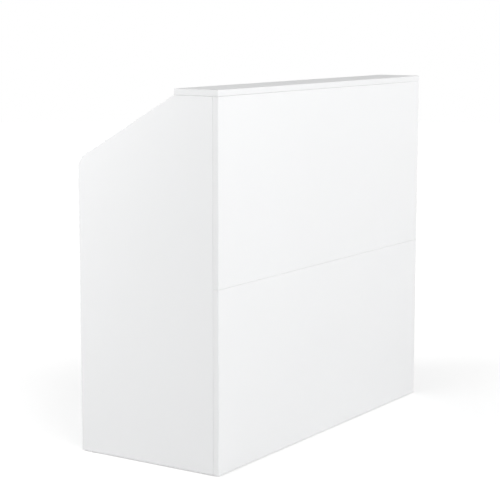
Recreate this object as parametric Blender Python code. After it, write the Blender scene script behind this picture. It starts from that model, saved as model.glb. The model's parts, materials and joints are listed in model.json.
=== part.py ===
"""Reception counter: a white board carcass with a raised ledge for visitors and, on the staff side,
a work surface, a narrow hutch, a keyboard tray and a pedestal with a lockable drawer and a cabinet.

Metres, +Z up. X runs along the front, -Y is the visitors' side and +Y the staff side.
The origin is on the floor, under the middle of the counter's box.
"""

import math

import bmesh
import bpy
from mathutils import Matrix, Vector

# The whole counter
WIDTH = 1.200
DEPTH = 0.500
HEIGHT = 1.100

# Boards and the gaps between them
BOARD = 0.018
LIGHT_BOARD = 0.015
HARDBOARD = 0.003
EDGE_EASE = 0.0008
JOINT_GAP = 0.0003
REVEAL = 0.002
CUT_OVERRUN = 0.001
WELD = 0.000001

# The outside: front seam, ledge and the sloping sides
FRONT_SEAM_HEIGHT = 0.542
LEDGE_DEPTH = 0.150
SIDE_REAR_HEIGHT = 0.885
SIDE_CORNER_RADIUS = 0.050
CORNER_STEPS = 6

# Nailed glides under the upright boards
GLIDE_HEIGHT = 0.003
GLIDE_RADIUS = 0.008
GLIDE_CHAMFER = 0.001
NAIL_RADIUS = 0.001
NAIL_LENGTH = 0.012
GLIDE_INSET = 0.040

# Work surface and hutch
DESK_HEIGHT = 0.750
HUTCH_SHELF_SHARE = 0.5
HUTCH_SHELF_SETBACK = 0.003

# Pedestal
PEDESTAL_OPENING = 0.382
PEDESTAL_RECESS = 0.045
TOE_HEIGHT = 0.060
TOE_RECESS = 0.040
DRAWER_OPENING = 0.150
LOOSE_SHELF_HEIGHT = 0.320
LOOSE_SHELF_REAR_SPACE = 0.035
LOOSE_SHELF_PLAY = 0.001
SHELF_FRONT_SETBACK = 0.014

# Cam joints: a bolt in one board's edge, a pocket for its cam, a hole in the other board
CAM_RADIUS = 0.0075
CAM_FLOOR_SPACE = 0.0004
CAM_REACH = 0.0240
BOLT_THREAD = 0.0105
BOLT_THREAD_RADIUS = 0.0030
BOLT_SHANK_RADIUS = 0.0021
BOLT_HEAD_RADIUS = 0.0031
BOLT_HEAD_LENGTH = 0.0040
CAM_SIDES = 12
PIN_SIDES = 8

# Dowels
DOWEL_RADIUS = 0.0040
DOWEL_LENGTH = 0.0250
END_MARGIN = 0.045
PAIR_PITCH = 0.032

# Screws and rivets
SCREW_HEAD_RADIUS = 0.0036
SCREW_HEAD_HEIGHT = 0.0016
SCREW_SHANK_RADIUS = 0.0017
SCREW_LENGTH = 0.0125
HANDLE_SCREW_LENGTH = 0.026
RIVET_TAIL = 0.0012

# Shelf pins in rows of holes
SHELF_PIN_RADIUS = 0.0025
SHELF_PIN_IN_WALL = 0.0090
SHELF_PIN_OUT = 0.0070
SHELF_HOLE_PITCH = 0.032
SHELF_HOLES_EACH_WAY = 1
SHELF_PIN_INSET = 0.050

# Ball-bearing slides, in section
SLIDE_HEIGHT = 0.045
SLIDE_WIDTH = 0.0127
SLIDE_STEEL = 0.0012
SLIDE_RUN = 0.0004
SLIDE_LIP_GAP = 0.0006
SLIDE_MIDDLE_OFFSET = 0.0036
SLIDE_END_SCREW = 0.035

# Drawer
DRAWER_REAR_SPACE = 0.0687
DRAWER_SIDE_HEIGHT = 0.110
DRAWER_SIDE_RAISE = 0.016
BOTTOM_GROOVE_RAISE = 0.010
BOTTOM_GROOVE_DEPTH = 0.005
DRAWER_DOWEL_INSET = 0.030
DRAWER_CAM_RAISE = 0.070

# Bridge handles
HANDLE_PITCH = 0.096
HANDLE_PROJECTION = 0.028
HANDLE_BAR = 0.006
HANDLE_POST = 0.009
HANDLE_WIDTH = 0.010
HANDLE_CORNER_RADIUS = 0.008
HANDLE_CORNER_STEPS = 4
DRAWER_HANDLE_RISE = 0.052
DOOR_HANDLE_INSET = 0.035
DOOR_HANDLE_DROP = 0.110

# Drawer lock, its strike and its key
LOCK_DROP = 0.026
LOCK_FLANGE_RADIUS = 0.0110
LOCK_FLANGE_THICKNESS = 0.0025
LOCK_BARREL_RADIUS = 0.0095
LOCK_BARREL_BEHIND = 0.0060
LOCK_PLUG_RADIUS = 0.0067
LOCK_PLUG_SUNK = 0.0005
LOCK_STUD_RADIUS = 0.0030
LOCK_STUD_LENGTH = 0.0052
LOCK_NUT_RADIUS = 0.0058
LOCK_NUT_THICKNESS = 0.0022
LOCK_SIDES = 20
TONGUE_THICKNESS = 0.0020
TONGUE_REACH = 0.0240
TONGUE_WIDTH = 0.0130
TONGUE_TIP_WIDTH = 0.0090
STRIKE_STEEL = 0.0015
STRIKE_DROP = 0.0140
STRIKE_FLANGE = 0.0240
STRIKE_WIDTH = 0.0340
STRIKE_PLAY = 0.0008
STRIKE_SCREW_PITCH = 0.0180
KEY_THICKNESS = 0.0020
KEY_BLADE_HEIGHT = 0.0080
KEY_BLADE_LENGTH = 0.0180
KEY_NECK_HEIGHT = 0.0110
KEY_NECK_LENGTH = 0.0040
KEY_BOW_RADIUS = 0.0100
KEY_RING_HOLE_RADIUS = 0.0025

# Knuckle hinges of the cabinet door
HINGE_HEIGHT = 0.050
HINGE_STEEL = 0.0013
KNUCKLE_RADIUS = 0.0035
KNUCKLE_STANDOFF = 0.0005
HINGE_PIN_HEAD_RADIUS = 0.0030
HINGE_PIN_HEAD_HEIGHT = 0.0012
DOOR_LEAF_DEPTH = 0.0200
DOOR_LEAF_HEIGHT = 0.0200
CABINET_LEAF_DEPTH = 0.0300
HINGE_INSET = 0.070
HINGE_SCREW_RISE = 0.0170
CURL_TURN = math.radians(300)
CURL_STEPS = 14

# Magnetic catch and its plate
CATCH_LENGTH = 0.045
CATCH_DEPTH = 0.014
CATCH_HEIGHT = 0.012
CATCH_INSET = 0.040
CATCH_SCREW_PITCH = 0.034
CATCH_SCREW_LENGTH = 0.020
CATCH_PLATE_LENGTH = 0.032
CATCH_PLATE_HEIGHT = 0.012
CATCH_PLATE_STEEL = 0.0012

# Keyboard tray
TRAY_SIDE_SPACE = 0.082
TRAY_REAR_SPACE = 0.172
TRAY_DROP = 0.092
TRAY_EDGE_SETBACK = 0.010
TRAY_SLIDE_HEIGHT = 0.035
HANGER_STEEL = 0.0015
HANGER_SETBACK = 0.020
HANGER_FLANGE = 0.026
HANGER_TAIL = 0.004
HANGER_SCREW_SHARES = (1 / 6, 5 / 6)

# Cable outlet in the work surface
OUTLET_RADIUS = 0.030
OUTLET_FROM_SIDE = 0.120
OUTLET_FROM_FRONT = 0.060
LINER_WALL = 0.0020
LINER_FLANGE_RADIUS = 0.0350
LINER_FLANGE_THICKNESS = 0.0020
LINER_LEDGE_WIDTH = 0.0020
LINER_LEDGE_HEIGHT = 0.0020
OUTLET_CAP_THICKNESS = 0.0040
OUTLET_NOTCH_WIDTH = 0.022
OUTLET_NOTCH_DEPTH = 0.016
OUTLET_SIDES = 28

# Places that follow from the sizes above
FRONT_FACE = -DEPTH / 2
REAR_EDGE = DEPTH / 2
FRONT_INNER = FRONT_FACE + BOARD
FRONT_MIDDLE = FRONT_FACE + BOARD / 2
SIDE_OUTER = WIDTH / 2
SIDE_INNER = SIDE_OUTER - BOARD
SIDE_MIDDLE = SIDE_OUTER - BOARD / 2
BOARD_FOOT = GLIDE_HEIGHT + JOINT_GAP
LEDGE_UNDERSIDE = HEIGHT - BOARD
LEDGE_REAR = FRONT_FACE + LEDGE_DEPTH
LEDGE_MIDDLE = (LEDGE_REAR + FRONT_INNER) / 2
DESK_UNDERSIDE = DESK_HEIGHT - BOARD
HUTCH_SHELF_TOP = DESK_HEIGHT + (LEDGE_UNDERSIDE - DESK_HEIGHT) * HUTCH_SHELF_SHARE
DIVIDER_RIGHT = SIDE_INNER - PEDESTAL_OPENING
DIVIDER_LEFT = DIVIDER_RIGHT - BOARD
DIVIDER_MIDDLE = DIVIDER_RIGHT - BOARD / 2
PEDESTAL_MIDDLE = (DIVIDER_RIGHT + SIDE_INNER) / 2
PEDESTAL_FACE = REAR_EDGE - PEDESTAL_RECESS
PEDESTAL_FRONT_BACK = PEDESTAL_FACE - BOARD
TOE_FACE = PEDESTAL_FACE - TOE_RECESS
PEDESTAL_FLOOR = TOE_HEIGHT + BOARD
DRAWER_SHELF_TOP = DESK_UNDERSIDE - DRAWER_OPENING
DRAWER_SHELF_UNDERSIDE = DRAWER_SHELF_TOP - BOARD
SLIDE_SPACE = SLIDE_WIDTH + 2 * JOINT_GAP
OUTER_FLANGE = SLIDE_WIDTH - SLIDE_STEEL - SLIDE_LIP_GAP
INNER_FLANGE = OUTER_FLANGE - SLIDE_MIDDLE_OFFSET

X = Vector((1, 0, 0))
Y = Vector((0, 1, 0))
Z = Vector((0, 0, 1))


def material(name, colour, roughness, metallic=0.0):
    """One plain finish of the counter."""
    made = bpy.data.materials.new(name)
    made.use_nodes = True
    shader = made.node_tree.nodes["Principled BSDF"]
    shader.inputs["Base Color"].default_value = (*colour, 1.0)
    shader.inputs["Roughness"].default_value = roughness
    shader.inputs["Metallic"].default_value = metallic
    return made


for old in list(bpy.data.objects):
    bpy.data.objects.remove(old)

WHITE_LAMINATE = material("white_laminate", (0.86, 0.87, 0.88), 0.38)
WHITE_HARDBOARD = material("white_hardboard", (0.80, 0.80, 0.79), 0.55)
ZINC = material("zinc_plated_steel", (0.62, 0.63, 0.64), 0.35, 1.0)
NICKEL = material("satin_nickel", (0.60, 0.58, 0.55), 0.28, 1.0)
WHITE_PLASTIC = material("white_plastic", (0.82, 0.82, 0.81), 0.45)

# The pieces by name, what each has cut out of it, and the pins and screws that are made in one with it
pieces = {}
cuts = {}
held = {}


def prism(outline, along):
    """A closed solid swept from a flat outline along a vector."""
    bm = bmesh.new()
    face = bm.faces.new([bm.verts.new(point) for point in outline])
    swept = bmesh.ops.extrude_face_region(bm, geom=[face])
    moved = [v for v in swept["geom"] if isinstance(v, bmesh.types.BMVert)]
    bmesh.ops.translate(bm, vec=along, verts=moved)
    bmesh.ops.recalc_face_normals(bm, faces=bm.faces)
    return bm


def block(low, high):
    """A closed box between two corners."""
    low, high = Vector(low), Vector(high)
    bm = bmesh.new()
    place = Matrix.Translation((low + high) / 2) @ Matrix.Diagonal((*(high - low), 1.0))
    bmesh.ops.create_cube(bm, size=1.0, matrix=place)
    return bm


def facing(start, axis):
    """The matrix that stands a shape made along Z on a start point, along an axis."""
    return Matrix.Translation(start) @ axis.to_track_quat("Z", "Y").to_matrix().to_4x4()


def turned(profile, start, axis, sides, ring=False, turn=0.0):
    """A round solid from (distance along the axis, radius) steps. A ring's profile closes on itself.
    The turn is where round the axis its first facet starts."""
    bm = bmesh.new()
    verts = [bm.verts.new((radius, 0, distance)) for distance, radius in profile]
    ends = verts[1:] + verts[:1] if ring else verts[1:]
    edges = [bm.edges.new(pair) for pair in zip(verts, ends)]
    bmesh.ops.spin(
        bm,
        geom=verts + edges,
        cent=(0, 0, 0),
        axis=Z,
        angle=2 * math.pi,
        steps=sides,
        use_merge=True,
    )
    bmesh.ops.remove_doubles(bm, verts=bm.verts, dist=WELD)
    bmesh.ops.recalc_face_normals(bm, faces=bm.faces)
    place = facing(start, axis) @ Matrix.Rotation(turn, 4, Z)
    bmesh.ops.transform(bm, matrix=place, verts=bm.verts)
    return bm


def rod(start, axis, length, radius, sides, turn=0.0):
    """A plain round bar, or the shape of a drilled hole."""
    return turned([(0, 0), (0, radius), (length, radius), (length, 0)], start, axis, sides, turn=turn)


def arc(centre, radius, start, turn, steps):
    """Points of a circular arc in a plane, from a start angle through a turn."""
    angles = [start + turn * step / steps for step in range(steps + 1)]
    return [(centre[0] + radius * math.cos(a), centre[1] + radius * math.sin(a)) for a in angles]


def joined(shapes):
    """Several closed shapes in one mesh, still separate bodies."""
    whole = bmesh.new()
    for shape in shapes:
        passing = bpy.data.meshes.new("passing")
        shape.to_mesh(passing)
        shape.free()
        whole.from_mesh(passing)
        bpy.data.meshes.remove(passing)
    return whole


def add_piece(name, bm, finish, parent=None, smooth=False):
    """Makes a named object of a mesh that is given in the counter's frame. Its origin is its middle."""
    corners = [v.co for v in bm.verts]
    low = Vector([min(c[k] for c in corners) for k in range(3)])
    high = Vector([max(c[k] for c in corners) for k in range(3)])
    middle = (low + high) / 2
    bmesh.ops.translate(bm, vec=-middle, verts=bm.verts)
    mesh = bpy.data.meshes.new(name)
    bm.to_mesh(mesh)
    bm.free()
    if smooth:
        mesh.shade_smooth()
        mesh.set_sharp_from_angle(angle=math.radians(40))
    mesh.materials.append(finish)
    made = bpy.data.objects.new(name, mesh)
    bpy.context.scene.collection.objects.link(made)
    made.parent = parent
    made.location = middle - (parent.location if parent else Vector())
    pieces[name] = made
    return made


def add_axis(name, place):
    """An empty on a moving body's joint, which the body's pieces hang from."""
    made = bpy.data.objects.new(name, None)
    made.location = place
    bpy.context.scene.collection.objects.link(made)
    return made


def add_board(name, shape, parent=None):
    """A laminated board with eased edges."""
    made = add_piece(name, shape, WHITE_LAMINATE, parent)
    ease = made.modifiers.new("eased edges", "BEVEL")
    ease.width = EDGE_EASE
    ease.segments = 1
    ease.limit_method = "ANGLE"


def cut(name, layer, shape):
    """Notes a shape to be cut out of the named piece. Shapes of one layer lie apart."""
    cuts.setdefault(name, {}).setdefault(layer, []).append(shape)


def drill(name, mouth, into, depth, radius, sides=PIN_SIDES):
    """Notes a hole that starts at a point on the piece's surface."""
    start = Vector(mouth) - into * CUT_OVERRUN
    cut(name, "holes", rod(start, into, depth + CUT_OVERRUN, radius, sides))


def hold(name, shape):
    """Notes a pin, bolt or screw that is made in one with the named piece."""
    held.setdefault(name, []).append(shape)


def combine(name, layer, shapes, operation):
    """One Boolean step of a piece, with a hidden helper for its shapes."""
    target = pieces[name]
    helper = add_piece(f"{name}_{layer}", joined(shapes), ZINC, target.parent)
    helper.hide_render = True
    helper.display_type = "WIRE"
    step = target.modifiers.new(layer, "BOOLEAN")
    step.operation = operation
    step.object = helper


def finish_pieces():
    """Cuts each piece's holes, then adds what it holds."""
    for name, layers in cuts.items():
        for layer, shapes in layers.items():
            combine(name, layer, shapes, "DIFFERENCE")
    for name, shapes in held.items():
        pieces[name].modifiers.new("plane facets", "TRIANGULATE")
        combine(name, "fixings", shapes, "UNION")


def cam_joint(bolted, holder, point, inward, face, thickness=BOARD):
    """A bolt in the holder's edge, a hole for it in the other board and a pocket for its cam."""
    point = Vector(point)
    bolt = [
        (-BOLT_THREAD, 0),
        (-BOLT_THREAD, BOLT_THREAD_RADIUS),
        (BOLT_THREAD_RADIUS, BOLT_THREAD_RADIUS),
        (BOLT_THREAD_RADIUS, BOLT_SHANK_RADIUS),
        (CAM_REACH - BOLT_HEAD_LENGTH, BOLT_SHANK_RADIUS),
        (CAM_REACH - BOLT_HEAD_LENGTH, BOLT_HEAD_RADIUS),
        (CAM_REACH, BOLT_HEAD_RADIUS),
        (CAM_REACH, 0),
    ]
    hold(holder, turned(bolt, point, inward, PIN_SIDES))
    drill(bolted, point, -inward, BOLT_THREAD + JOINT_GAP, BOLT_THREAD_RADIUS + JOINT_GAP)
    depth = thickness / 2 + BOLT_HEAD_RADIUS + CAM_FLOOR_SPACE
    mouth = point + inward * CAM_REACH + face * (thickness / 2 + CUT_OVERRUN)
    half_facet = math.pi / CAM_SIDES
    pocket = rod(mouth, -face, depth + CUT_OVERRUN, CAM_RADIUS, CAM_SIDES, half_facet)
    cut(holder, "cam_pockets", pocket)


def dowel(other, holder, point, inward):
    """A dowel that is glued in the edge of its holder, half of it in a hole of the other board."""
    half = DOWEL_LENGTH / 2
    point = Vector(point)
    hold(holder, rod(point - inward * half, inward, DOWEL_LENGTH, DOWEL_RADIUS, PIN_SIDES))
    drill(other, point, -inward, half + JOINT_GAP, DOWEL_RADIUS + JOINT_GAP)


def fastener(seat, into, head_end, length, tail=0):
    """A pan head that ends a distance past its seat, a shank and, on a rivet, a tail."""
    shape = [
        (head_end - SCREW_HEAD_HEIGHT, 0),
        (head_end - SCREW_HEAD_HEIGHT, SCREW_HEAD_RADIUS),
        (head_end, SCREW_HEAD_RADIUS),
        (head_end, SCREW_SHANK_RADIUS),
        (length, SCREW_SHANK_RADIUS),
    ]
    if tail:
        shape += [(length, SCREW_HEAD_RADIUS), (length + tail, SCREW_HEAD_RADIUS)]
    shape.append((length + tail, 0))
    return turned(shape, seat, into, PIN_SIDES)


def screw_hole(name, mouth, into, depth):
    drill(name, mouth, into, depth, SCREW_SHANK_RADIUS + JOINT_GAP)


def screw(holder, board, seat, into, length=SCREW_LENGTH):
    """A pan-head screw through a fitting and into a board, made in one with the fitting."""
    hold(holder, fastener(seat, into, JOINT_GAP, length))
    screw_hole(board, seat, into, length + JOINT_GAP)


def flush_screw(holder, board, seat, into, length=SCREW_LENGTH):
    """A countersunk screw, whose head lies within the fitting's plate."""
    start = Vector(seat) + into * JOINT_GAP
    hold(holder, rod(start, into, length - JOINT_GAP, SCREW_SHANK_RADIUS, PIN_SIDES))
    screw_hole(board, seat, into, length + JOINT_GAP)


def side_outline():
    """The side's profile in (Y, Z): upright front edge, level top, slope and a rounded rear corner."""
    front = FRONT_INNER + JOINT_GAP
    top = LEDGE_UNDERSIDE - JOINT_GAP
    slope = math.atan2(top - SIDE_REAR_HEIGHT, REAR_EDGE - LEDGE_REAR)
    turn = math.pi / 2 - slope
    tangent = SIDE_CORNER_RADIUS * math.tan(turn / 2)
    centre = (REAR_EDGE - SIDE_CORNER_RADIUS, SIDE_REAR_HEIGHT - tangent)
    corner = arc(centre, SIDE_CORNER_RADIUS, 0, turn, CORNER_STEPS)
    return [(front, BOARD_FOOT), (REAR_EDGE, BOARD_FOOT), *corner, (LEDGE_REAR, top), (front, top)]


def side_panel(name, outer):
    """One side. Its outer face is at X = outer."""
    inward = -math.copysign(BOARD, outer)
    add_board(name, prism([(outer, y, z) for y, z in side_outline()], X * inward))


def add_outer_boards():
    """The two sides, the two front panels and the visitors' ledge."""
    side_panel("left_side_panel", -SIDE_OUTER)
    side_panel("right_side_panel", SIDE_OUTER)
    front = (
        ("lower_front_panel", BOARD_FOOT, FRONT_SEAM_HEIGHT - JOINT_GAP / 2),
        ("upper_front_panel", FRONT_SEAM_HEIGHT + JOINT_GAP / 2, LEDGE_UNDERSIDE - JOINT_GAP),
    )
    for name, low, high in front:
        add_board(name, block((-SIDE_OUTER, FRONT_FACE, low), (SIDE_OUTER, FRONT_INNER, high)))
    ledge_low = (-SIDE_OUTER, FRONT_FACE, LEDGE_UNDERSIDE)
    add_board("counter_top", block(ledge_low, (SIDE_OUTER, LEDGE_REAR, HEIGHT)))


def add_inner_boards():
    """The work surface, the pedestal's boards and the hutch."""
    back = FRONT_INNER + JOINT_GAP
    left, right = DIVIDER_RIGHT + JOINT_GAP, SIDE_INNER - JOINT_GAP
    desk = block((-right, back, DESK_UNDERSIDE), (right, REAR_EDGE, DESK_HEIGHT))
    add_board("work_surface", desk)
    divider_high = (DIVIDER_RIGHT, PEDESTAL_FACE, DESK_UNDERSIDE - JOINT_GAP)
    add_board("pedestal_divider", block((DIVIDER_LEFT, back, BOARD_FOOT), divider_high))
    for name, top in (("pedestal_bottom", PEDESTAL_FLOOR), ("drawer_shelf", DRAWER_SHELF_TOP)):
        add_board(name, block((left, back, top - BOARD), (right, PEDESTAL_FACE, top)))
    toe_low = (left, TOE_FACE - BOARD, BOARD_FOOT)
    add_board("toe_kick", block(toe_low, (right, TOE_FACE, TOE_HEIGHT - JOINT_GAP)))
    divider_low = (DIVIDER_LEFT, back, DESK_HEIGHT + JOINT_GAP)
    divider_high = (DIVIDER_RIGHT, LEDGE_REAR, LEDGE_UNDERSIDE - JOINT_GAP)
    add_board("hutch_divider", block(divider_low, divider_high))
    shelf_low = (left, back, HUTCH_SHELF_TOP - LIGHT_BOARD)
    shelf_high = (right, LEDGE_REAR - HUTCH_SHELF_SETBACK, HUTCH_SHELF_TOP)
    add_board("hutch_shelf", block(shelf_low, shelf_high))


def join_sides():
    """Joints of the sides with the front, the ledge and the work surface."""
    pair = (LEDGE_MIDDLE - PAIR_PITCH / 2, LEDGE_MIDDLE + PAIR_PITCH / 2)
    low_pair = (BOARD_FOOT + END_MARGIN, FRONT_SEAM_HEIGHT - END_MARGIN)
    high_pair = (DESK_UNDERSIDE - END_MARGIN, LEDGE_UNDERSIDE - 2 * END_MARGIN)
    desk_middle = DESK_HEIGHT - BOARD / 2
    for side, inside, name in ((-1, X, "left_side_panel"), (1, -X, "right_side_panel")):
        middle = side * SIDE_MIDDLE
        cam_joint("counter_top", name, (middle, pair[0], LEDGE_UNDERSIDE), -Z, inside)
        dowel("counter_top", name, (middle, pair[1], LEDGE_UNDERSIDE), -Z)
        for z in low_pair:
            cam_joint("lower_front_panel", name, (middle, FRONT_INNER, z), Y, inside)
        for z in high_pair:
            cam_joint("upper_front_panel", name, (middle, FRONT_INNER, z), Y, inside)
        for y in (FRONT_INNER + 2 * END_MARGIN, REAR_EDGE - END_MARGIN):
            cam_joint(name, "work_surface", (side * SIDE_INNER, y, desk_middle), inside, -Z)


def join_front():
    """Dowels along the front's seam, under the ledge and behind the work surface."""
    quarter = WIDTH / 4
    for x in (-quarter, quarter):
        dowel("upper_front_panel", "lower_front_panel", (x, FRONT_MIDDLE, FRONT_SEAM_HEIGHT), -Z)
        dowel("counter_top", "upper_front_panel", (x, FRONT_MIDDLE, LEDGE_UNDERSIDE), -Z)
        dowel("upper_front_panel", "work_surface", (x, FRONT_INNER, DESK_HEIGHT - BOARD / 2), Y)


def join_pedestal():
    """Joints of the pedestal's divider, shelves and toe board."""
    cam_y = PEDESTAL_FACE - 2 * END_MARGIN
    dowel_y = FRONT_INNER + END_MARGIN
    divider = "pedestal_divider"
    for front, z in (
        ("lower_front_panel", FRONT_SEAM_HEIGHT / 2),
        ("upper_front_panel", DESK_UNDERSIDE - END_MARGIN),
    ):
        cam_joint(front, divider, (DIVIDER_MIDDLE, FRONT_INNER, z), Y, X)
    cam_joint("work_surface", divider, (DIVIDER_MIDDLE, cam_y, DESK_UNDERSIDE), -Z, X)
    clear_of_hutch = LEDGE_REAR + END_MARGIN
    dowel("work_surface", divider, (DIVIDER_MIDDLE, clear_of_hutch, DESK_UNDERSIDE), -Z)
    walls = ((divider, DIVIDER_RIGHT, X), ("right_side_panel", SIDE_INNER, -X))
    toe_middle = (BOARD_FOOT + TOE_HEIGHT) / 2
    for wall, x, inward in walls:
        for shelf, top in (("pedestal_bottom", PEDESTAL_FLOOR), ("drawer_shelf", DRAWER_SHELF_TOP)):
            cam_joint(wall, shelf, (x, cam_y, top - BOARD / 2), inward, -Z)
            dowel(wall, shelf, (x, dowel_y, top - BOARD / 2), inward)
        dowel(wall, "toe_kick", (x, TOE_FACE - BOARD / 2, toe_middle), inward)


def join_hutch():
    """Joints of the hutch's divider and shelf."""
    pair = (LEDGE_MIDDLE - PAIR_PITCH / 2, LEDGE_MIDDLE + PAIR_PITCH / 2)
    cam_joint("counter_top", "hutch_divider", (DIVIDER_MIDDLE, LEDGE_MIDDLE, LEDGE_UNDERSIDE), -Z, -X)
    for y in pair:
        dowel("work_surface", "hutch_divider", (DIVIDER_MIDDLE, y, DESK_HEIGHT), Z)
    height = HUTCH_SHELF_TOP - LIGHT_BOARD / 2
    for wall, x, inward in (("hutch_divider", DIVIDER_RIGHT, X), ("right_side_panel", SIDE_INNER, -X)):
        cam_joint(wall, "hutch_shelf", (x, pair[0], height), inward, -Z, LIGHT_BOARD)
        dowel(wall, "hutch_shelf", (x, pair[1], height), inward)


def add_glides():
    """Two nailed glides under each upright board that reaches the floor."""
    shape = [
        (0, 0),
        (0, GLIDE_RADIUS - GLIDE_CHAMFER),
        (GLIDE_CHAMFER, GLIDE_RADIUS),
        (GLIDE_HEIGHT, GLIDE_RADIUS),
        (GLIDE_HEIGHT, NAIL_RADIUS),
        (GLIDE_HEIGHT + NAIL_LENGTH, NAIL_RADIUS),
        (GLIDE_HEIGHT + NAIL_LENGTH, 0),
    ]
    front = FRONT_INNER + GLIDE_INSET
    for board, side, x, rear_edge in (
        ("left_side_panel", "left", -SIDE_MIDDLE, REAR_EDGE),
        ("pedestal_divider", "middle", DIVIDER_MIDDLE, PEDESTAL_FACE),
        ("right_side_panel", "right", SIDE_MIDDLE, REAR_EDGE),
    ):
        for end, y in (("front", front), ("rear", rear_edge - GLIDE_INSET)):
            glide = turned(shape, (x, y, 0), Z, CAM_SIDES)
            add_piece(f"floor_glide_{side}_{end}", glide, WHITE_PLASTIC, smooth=True)
            drill(board, (x, y, BOARD_FOOT), Z, NAIL_LENGTH, NAIL_RADIUS + JOINT_GAP)


def add_loose_shelf():
    """The cabinet's shelf and its four pins, each in the middle hole of a row."""
    face = PEDESTAL_FRONT_BACK - SHELF_FRONT_SETBACK
    back = FRONT_INNER + LOOSE_SHELF_REAR_SPACE
    underside = LOOSE_SHELF_HEIGHT - LIGHT_BOARD
    low = (DIVIDER_RIGHT + LOOSE_SHELF_PLAY, back, underside)
    high = (SIDE_INNER - LOOSE_SHELF_PLAY, face, LOOSE_SHELF_HEIGHT)
    add_board("adjustable_shelf", block(low, high))
    height = underside - SHELF_PIN_RADIUS - JOINT_GAP
    places = range(-SHELF_HOLES_EACH_WAY, SHELF_HOLES_EACH_WAY + 1)
    for wall, side, x, inward in (
        ("pedestal_divider", "left", DIVIDER_RIGHT, X),
        ("right_side_panel", "right", SIDE_INNER, -X),
    ):
        for end, y in (("front", back + SHELF_PIN_INSET), ("rear", face - SHELF_PIN_INSET)):
            start = Vector((x, y, height)) - inward * SHELF_PIN_IN_WALL
            length = SHELF_PIN_IN_WALL + SHELF_PIN_OUT
            pin = rod(start, inward, length, SHELF_PIN_RADIUS, CAM_SIDES)
            add_piece(f"shelf_pin_{side}_{end}", pin, ZINC, smooth=True)
            for place in places:
                mouth = (x, y, height + place * SHELF_HOLE_PITCH)
                depth = SHELF_PIN_IN_WALL + JOINT_GAP
                drill(wall, mouth, -inward, depth, SHELF_PIN_RADIUS + JOINT_GAP, CAM_SIDES)


def slide_section(back, height, flange, facing_way):
    """A slide member's C in (distance from the wall, height): a plate with a flange at each edge."""
    half = height / 2
    inner = back + facing_way * SLIDE_STEEL
    lip = back + facing_way * flange
    return [
        (back, -half),
        (lip, -half),
        (lip, SLIDE_STEEL - half),
        (inner, SLIDE_STEEL - half),
        (inner, half - SLIDE_STEEL),
        (lip, half - SLIDE_STEEL),
        (lip, half),
        (back, half),
    ]


def within(height):
    """The height of a slide member that runs inside one of the given height."""
    return height - 2 * (SLIDE_STEEL + SLIDE_RUN)


def slide_member(name, section, wall, inward, start, end, height, parent):
    """One member of a slide on a wall at X = wall, which what slides lies inward of."""
    outline = [(wall + inward.x * x, start, height + z) for x, z in section]
    add_piece(name, prism(outline, Y * (end - start)), ZINC, parent)


def add_handle(name, front, middle, along, parent):
    """A bridge handle on the outside of a front, held by two screws through the front."""
    half = HANDLE_PITCH / 2 + HANDLE_POST / 2
    inside = half - HANDLE_POST
    top = HANDLE_PROJECTION
    radius = HANDLE_CORNER_RADIUS
    quarter = math.pi / 2
    outline = [
        (half, JOINT_GAP),
        *arc((half - radius, top - radius), radius, 0, quarter, HANDLE_CORNER_STEPS),
        *arc((radius - half, top - radius), radius, quarter, quarter, HANDLE_CORNER_STEPS),
        (-half, JOINT_GAP),
        (-inside, JOINT_GAP),
        (-inside, top - HANDLE_BAR),
        (inside, top - HANDLE_BAR),
        (inside, JOINT_GAP),
    ]
    across = along.cross(Y)
    corner = middle - across * HANDLE_WIDTH / 2
    points = [corner + along * a + Y * b for a, b in outline]
    add_piece(name, prism(points, across * HANDLE_WIDTH), NICKEL, parent)
    for side in (-1, 1):
        seat = middle + along * side * HANDLE_PITCH / 2 - Y * BOARD
        hold(name, fastener(seat, Y, -JOINT_GAP, HANDLE_SCREW_LENGTH))
        screw_hole(front, seat, Y, BOARD + CUT_OVERRUN)


DRAWER_LEFT = DIVIDER_RIGHT + SLIDE_SPACE
DRAWER_RIGHT = SIDE_INNER - SLIDE_SPACE
DRAWER_SIDE_LOW = DRAWER_SHELF_TOP + DRAWER_SIDE_RAISE
DRAWER_SIDE_HIGH = DRAWER_SIDE_LOW + DRAWER_SIDE_HEIGHT
DRAWER_BOX_FRONT = PEDESTAL_FRONT_BACK - JOINT_GAP
DRAWER_BOX_BACK = FRONT_INNER + DRAWER_REAR_SPACE
DRAWER_RUN_HEIGHT = (DRAWER_SIDE_LOW + DRAWER_SIDE_HIGH) / 2
DRAWER_FRONT_LOW = DRAWER_SHELF_TOP + REVEAL
DRAWER_FRONT_HIGH = DESK_UNDERSIDE - REVEAL


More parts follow.
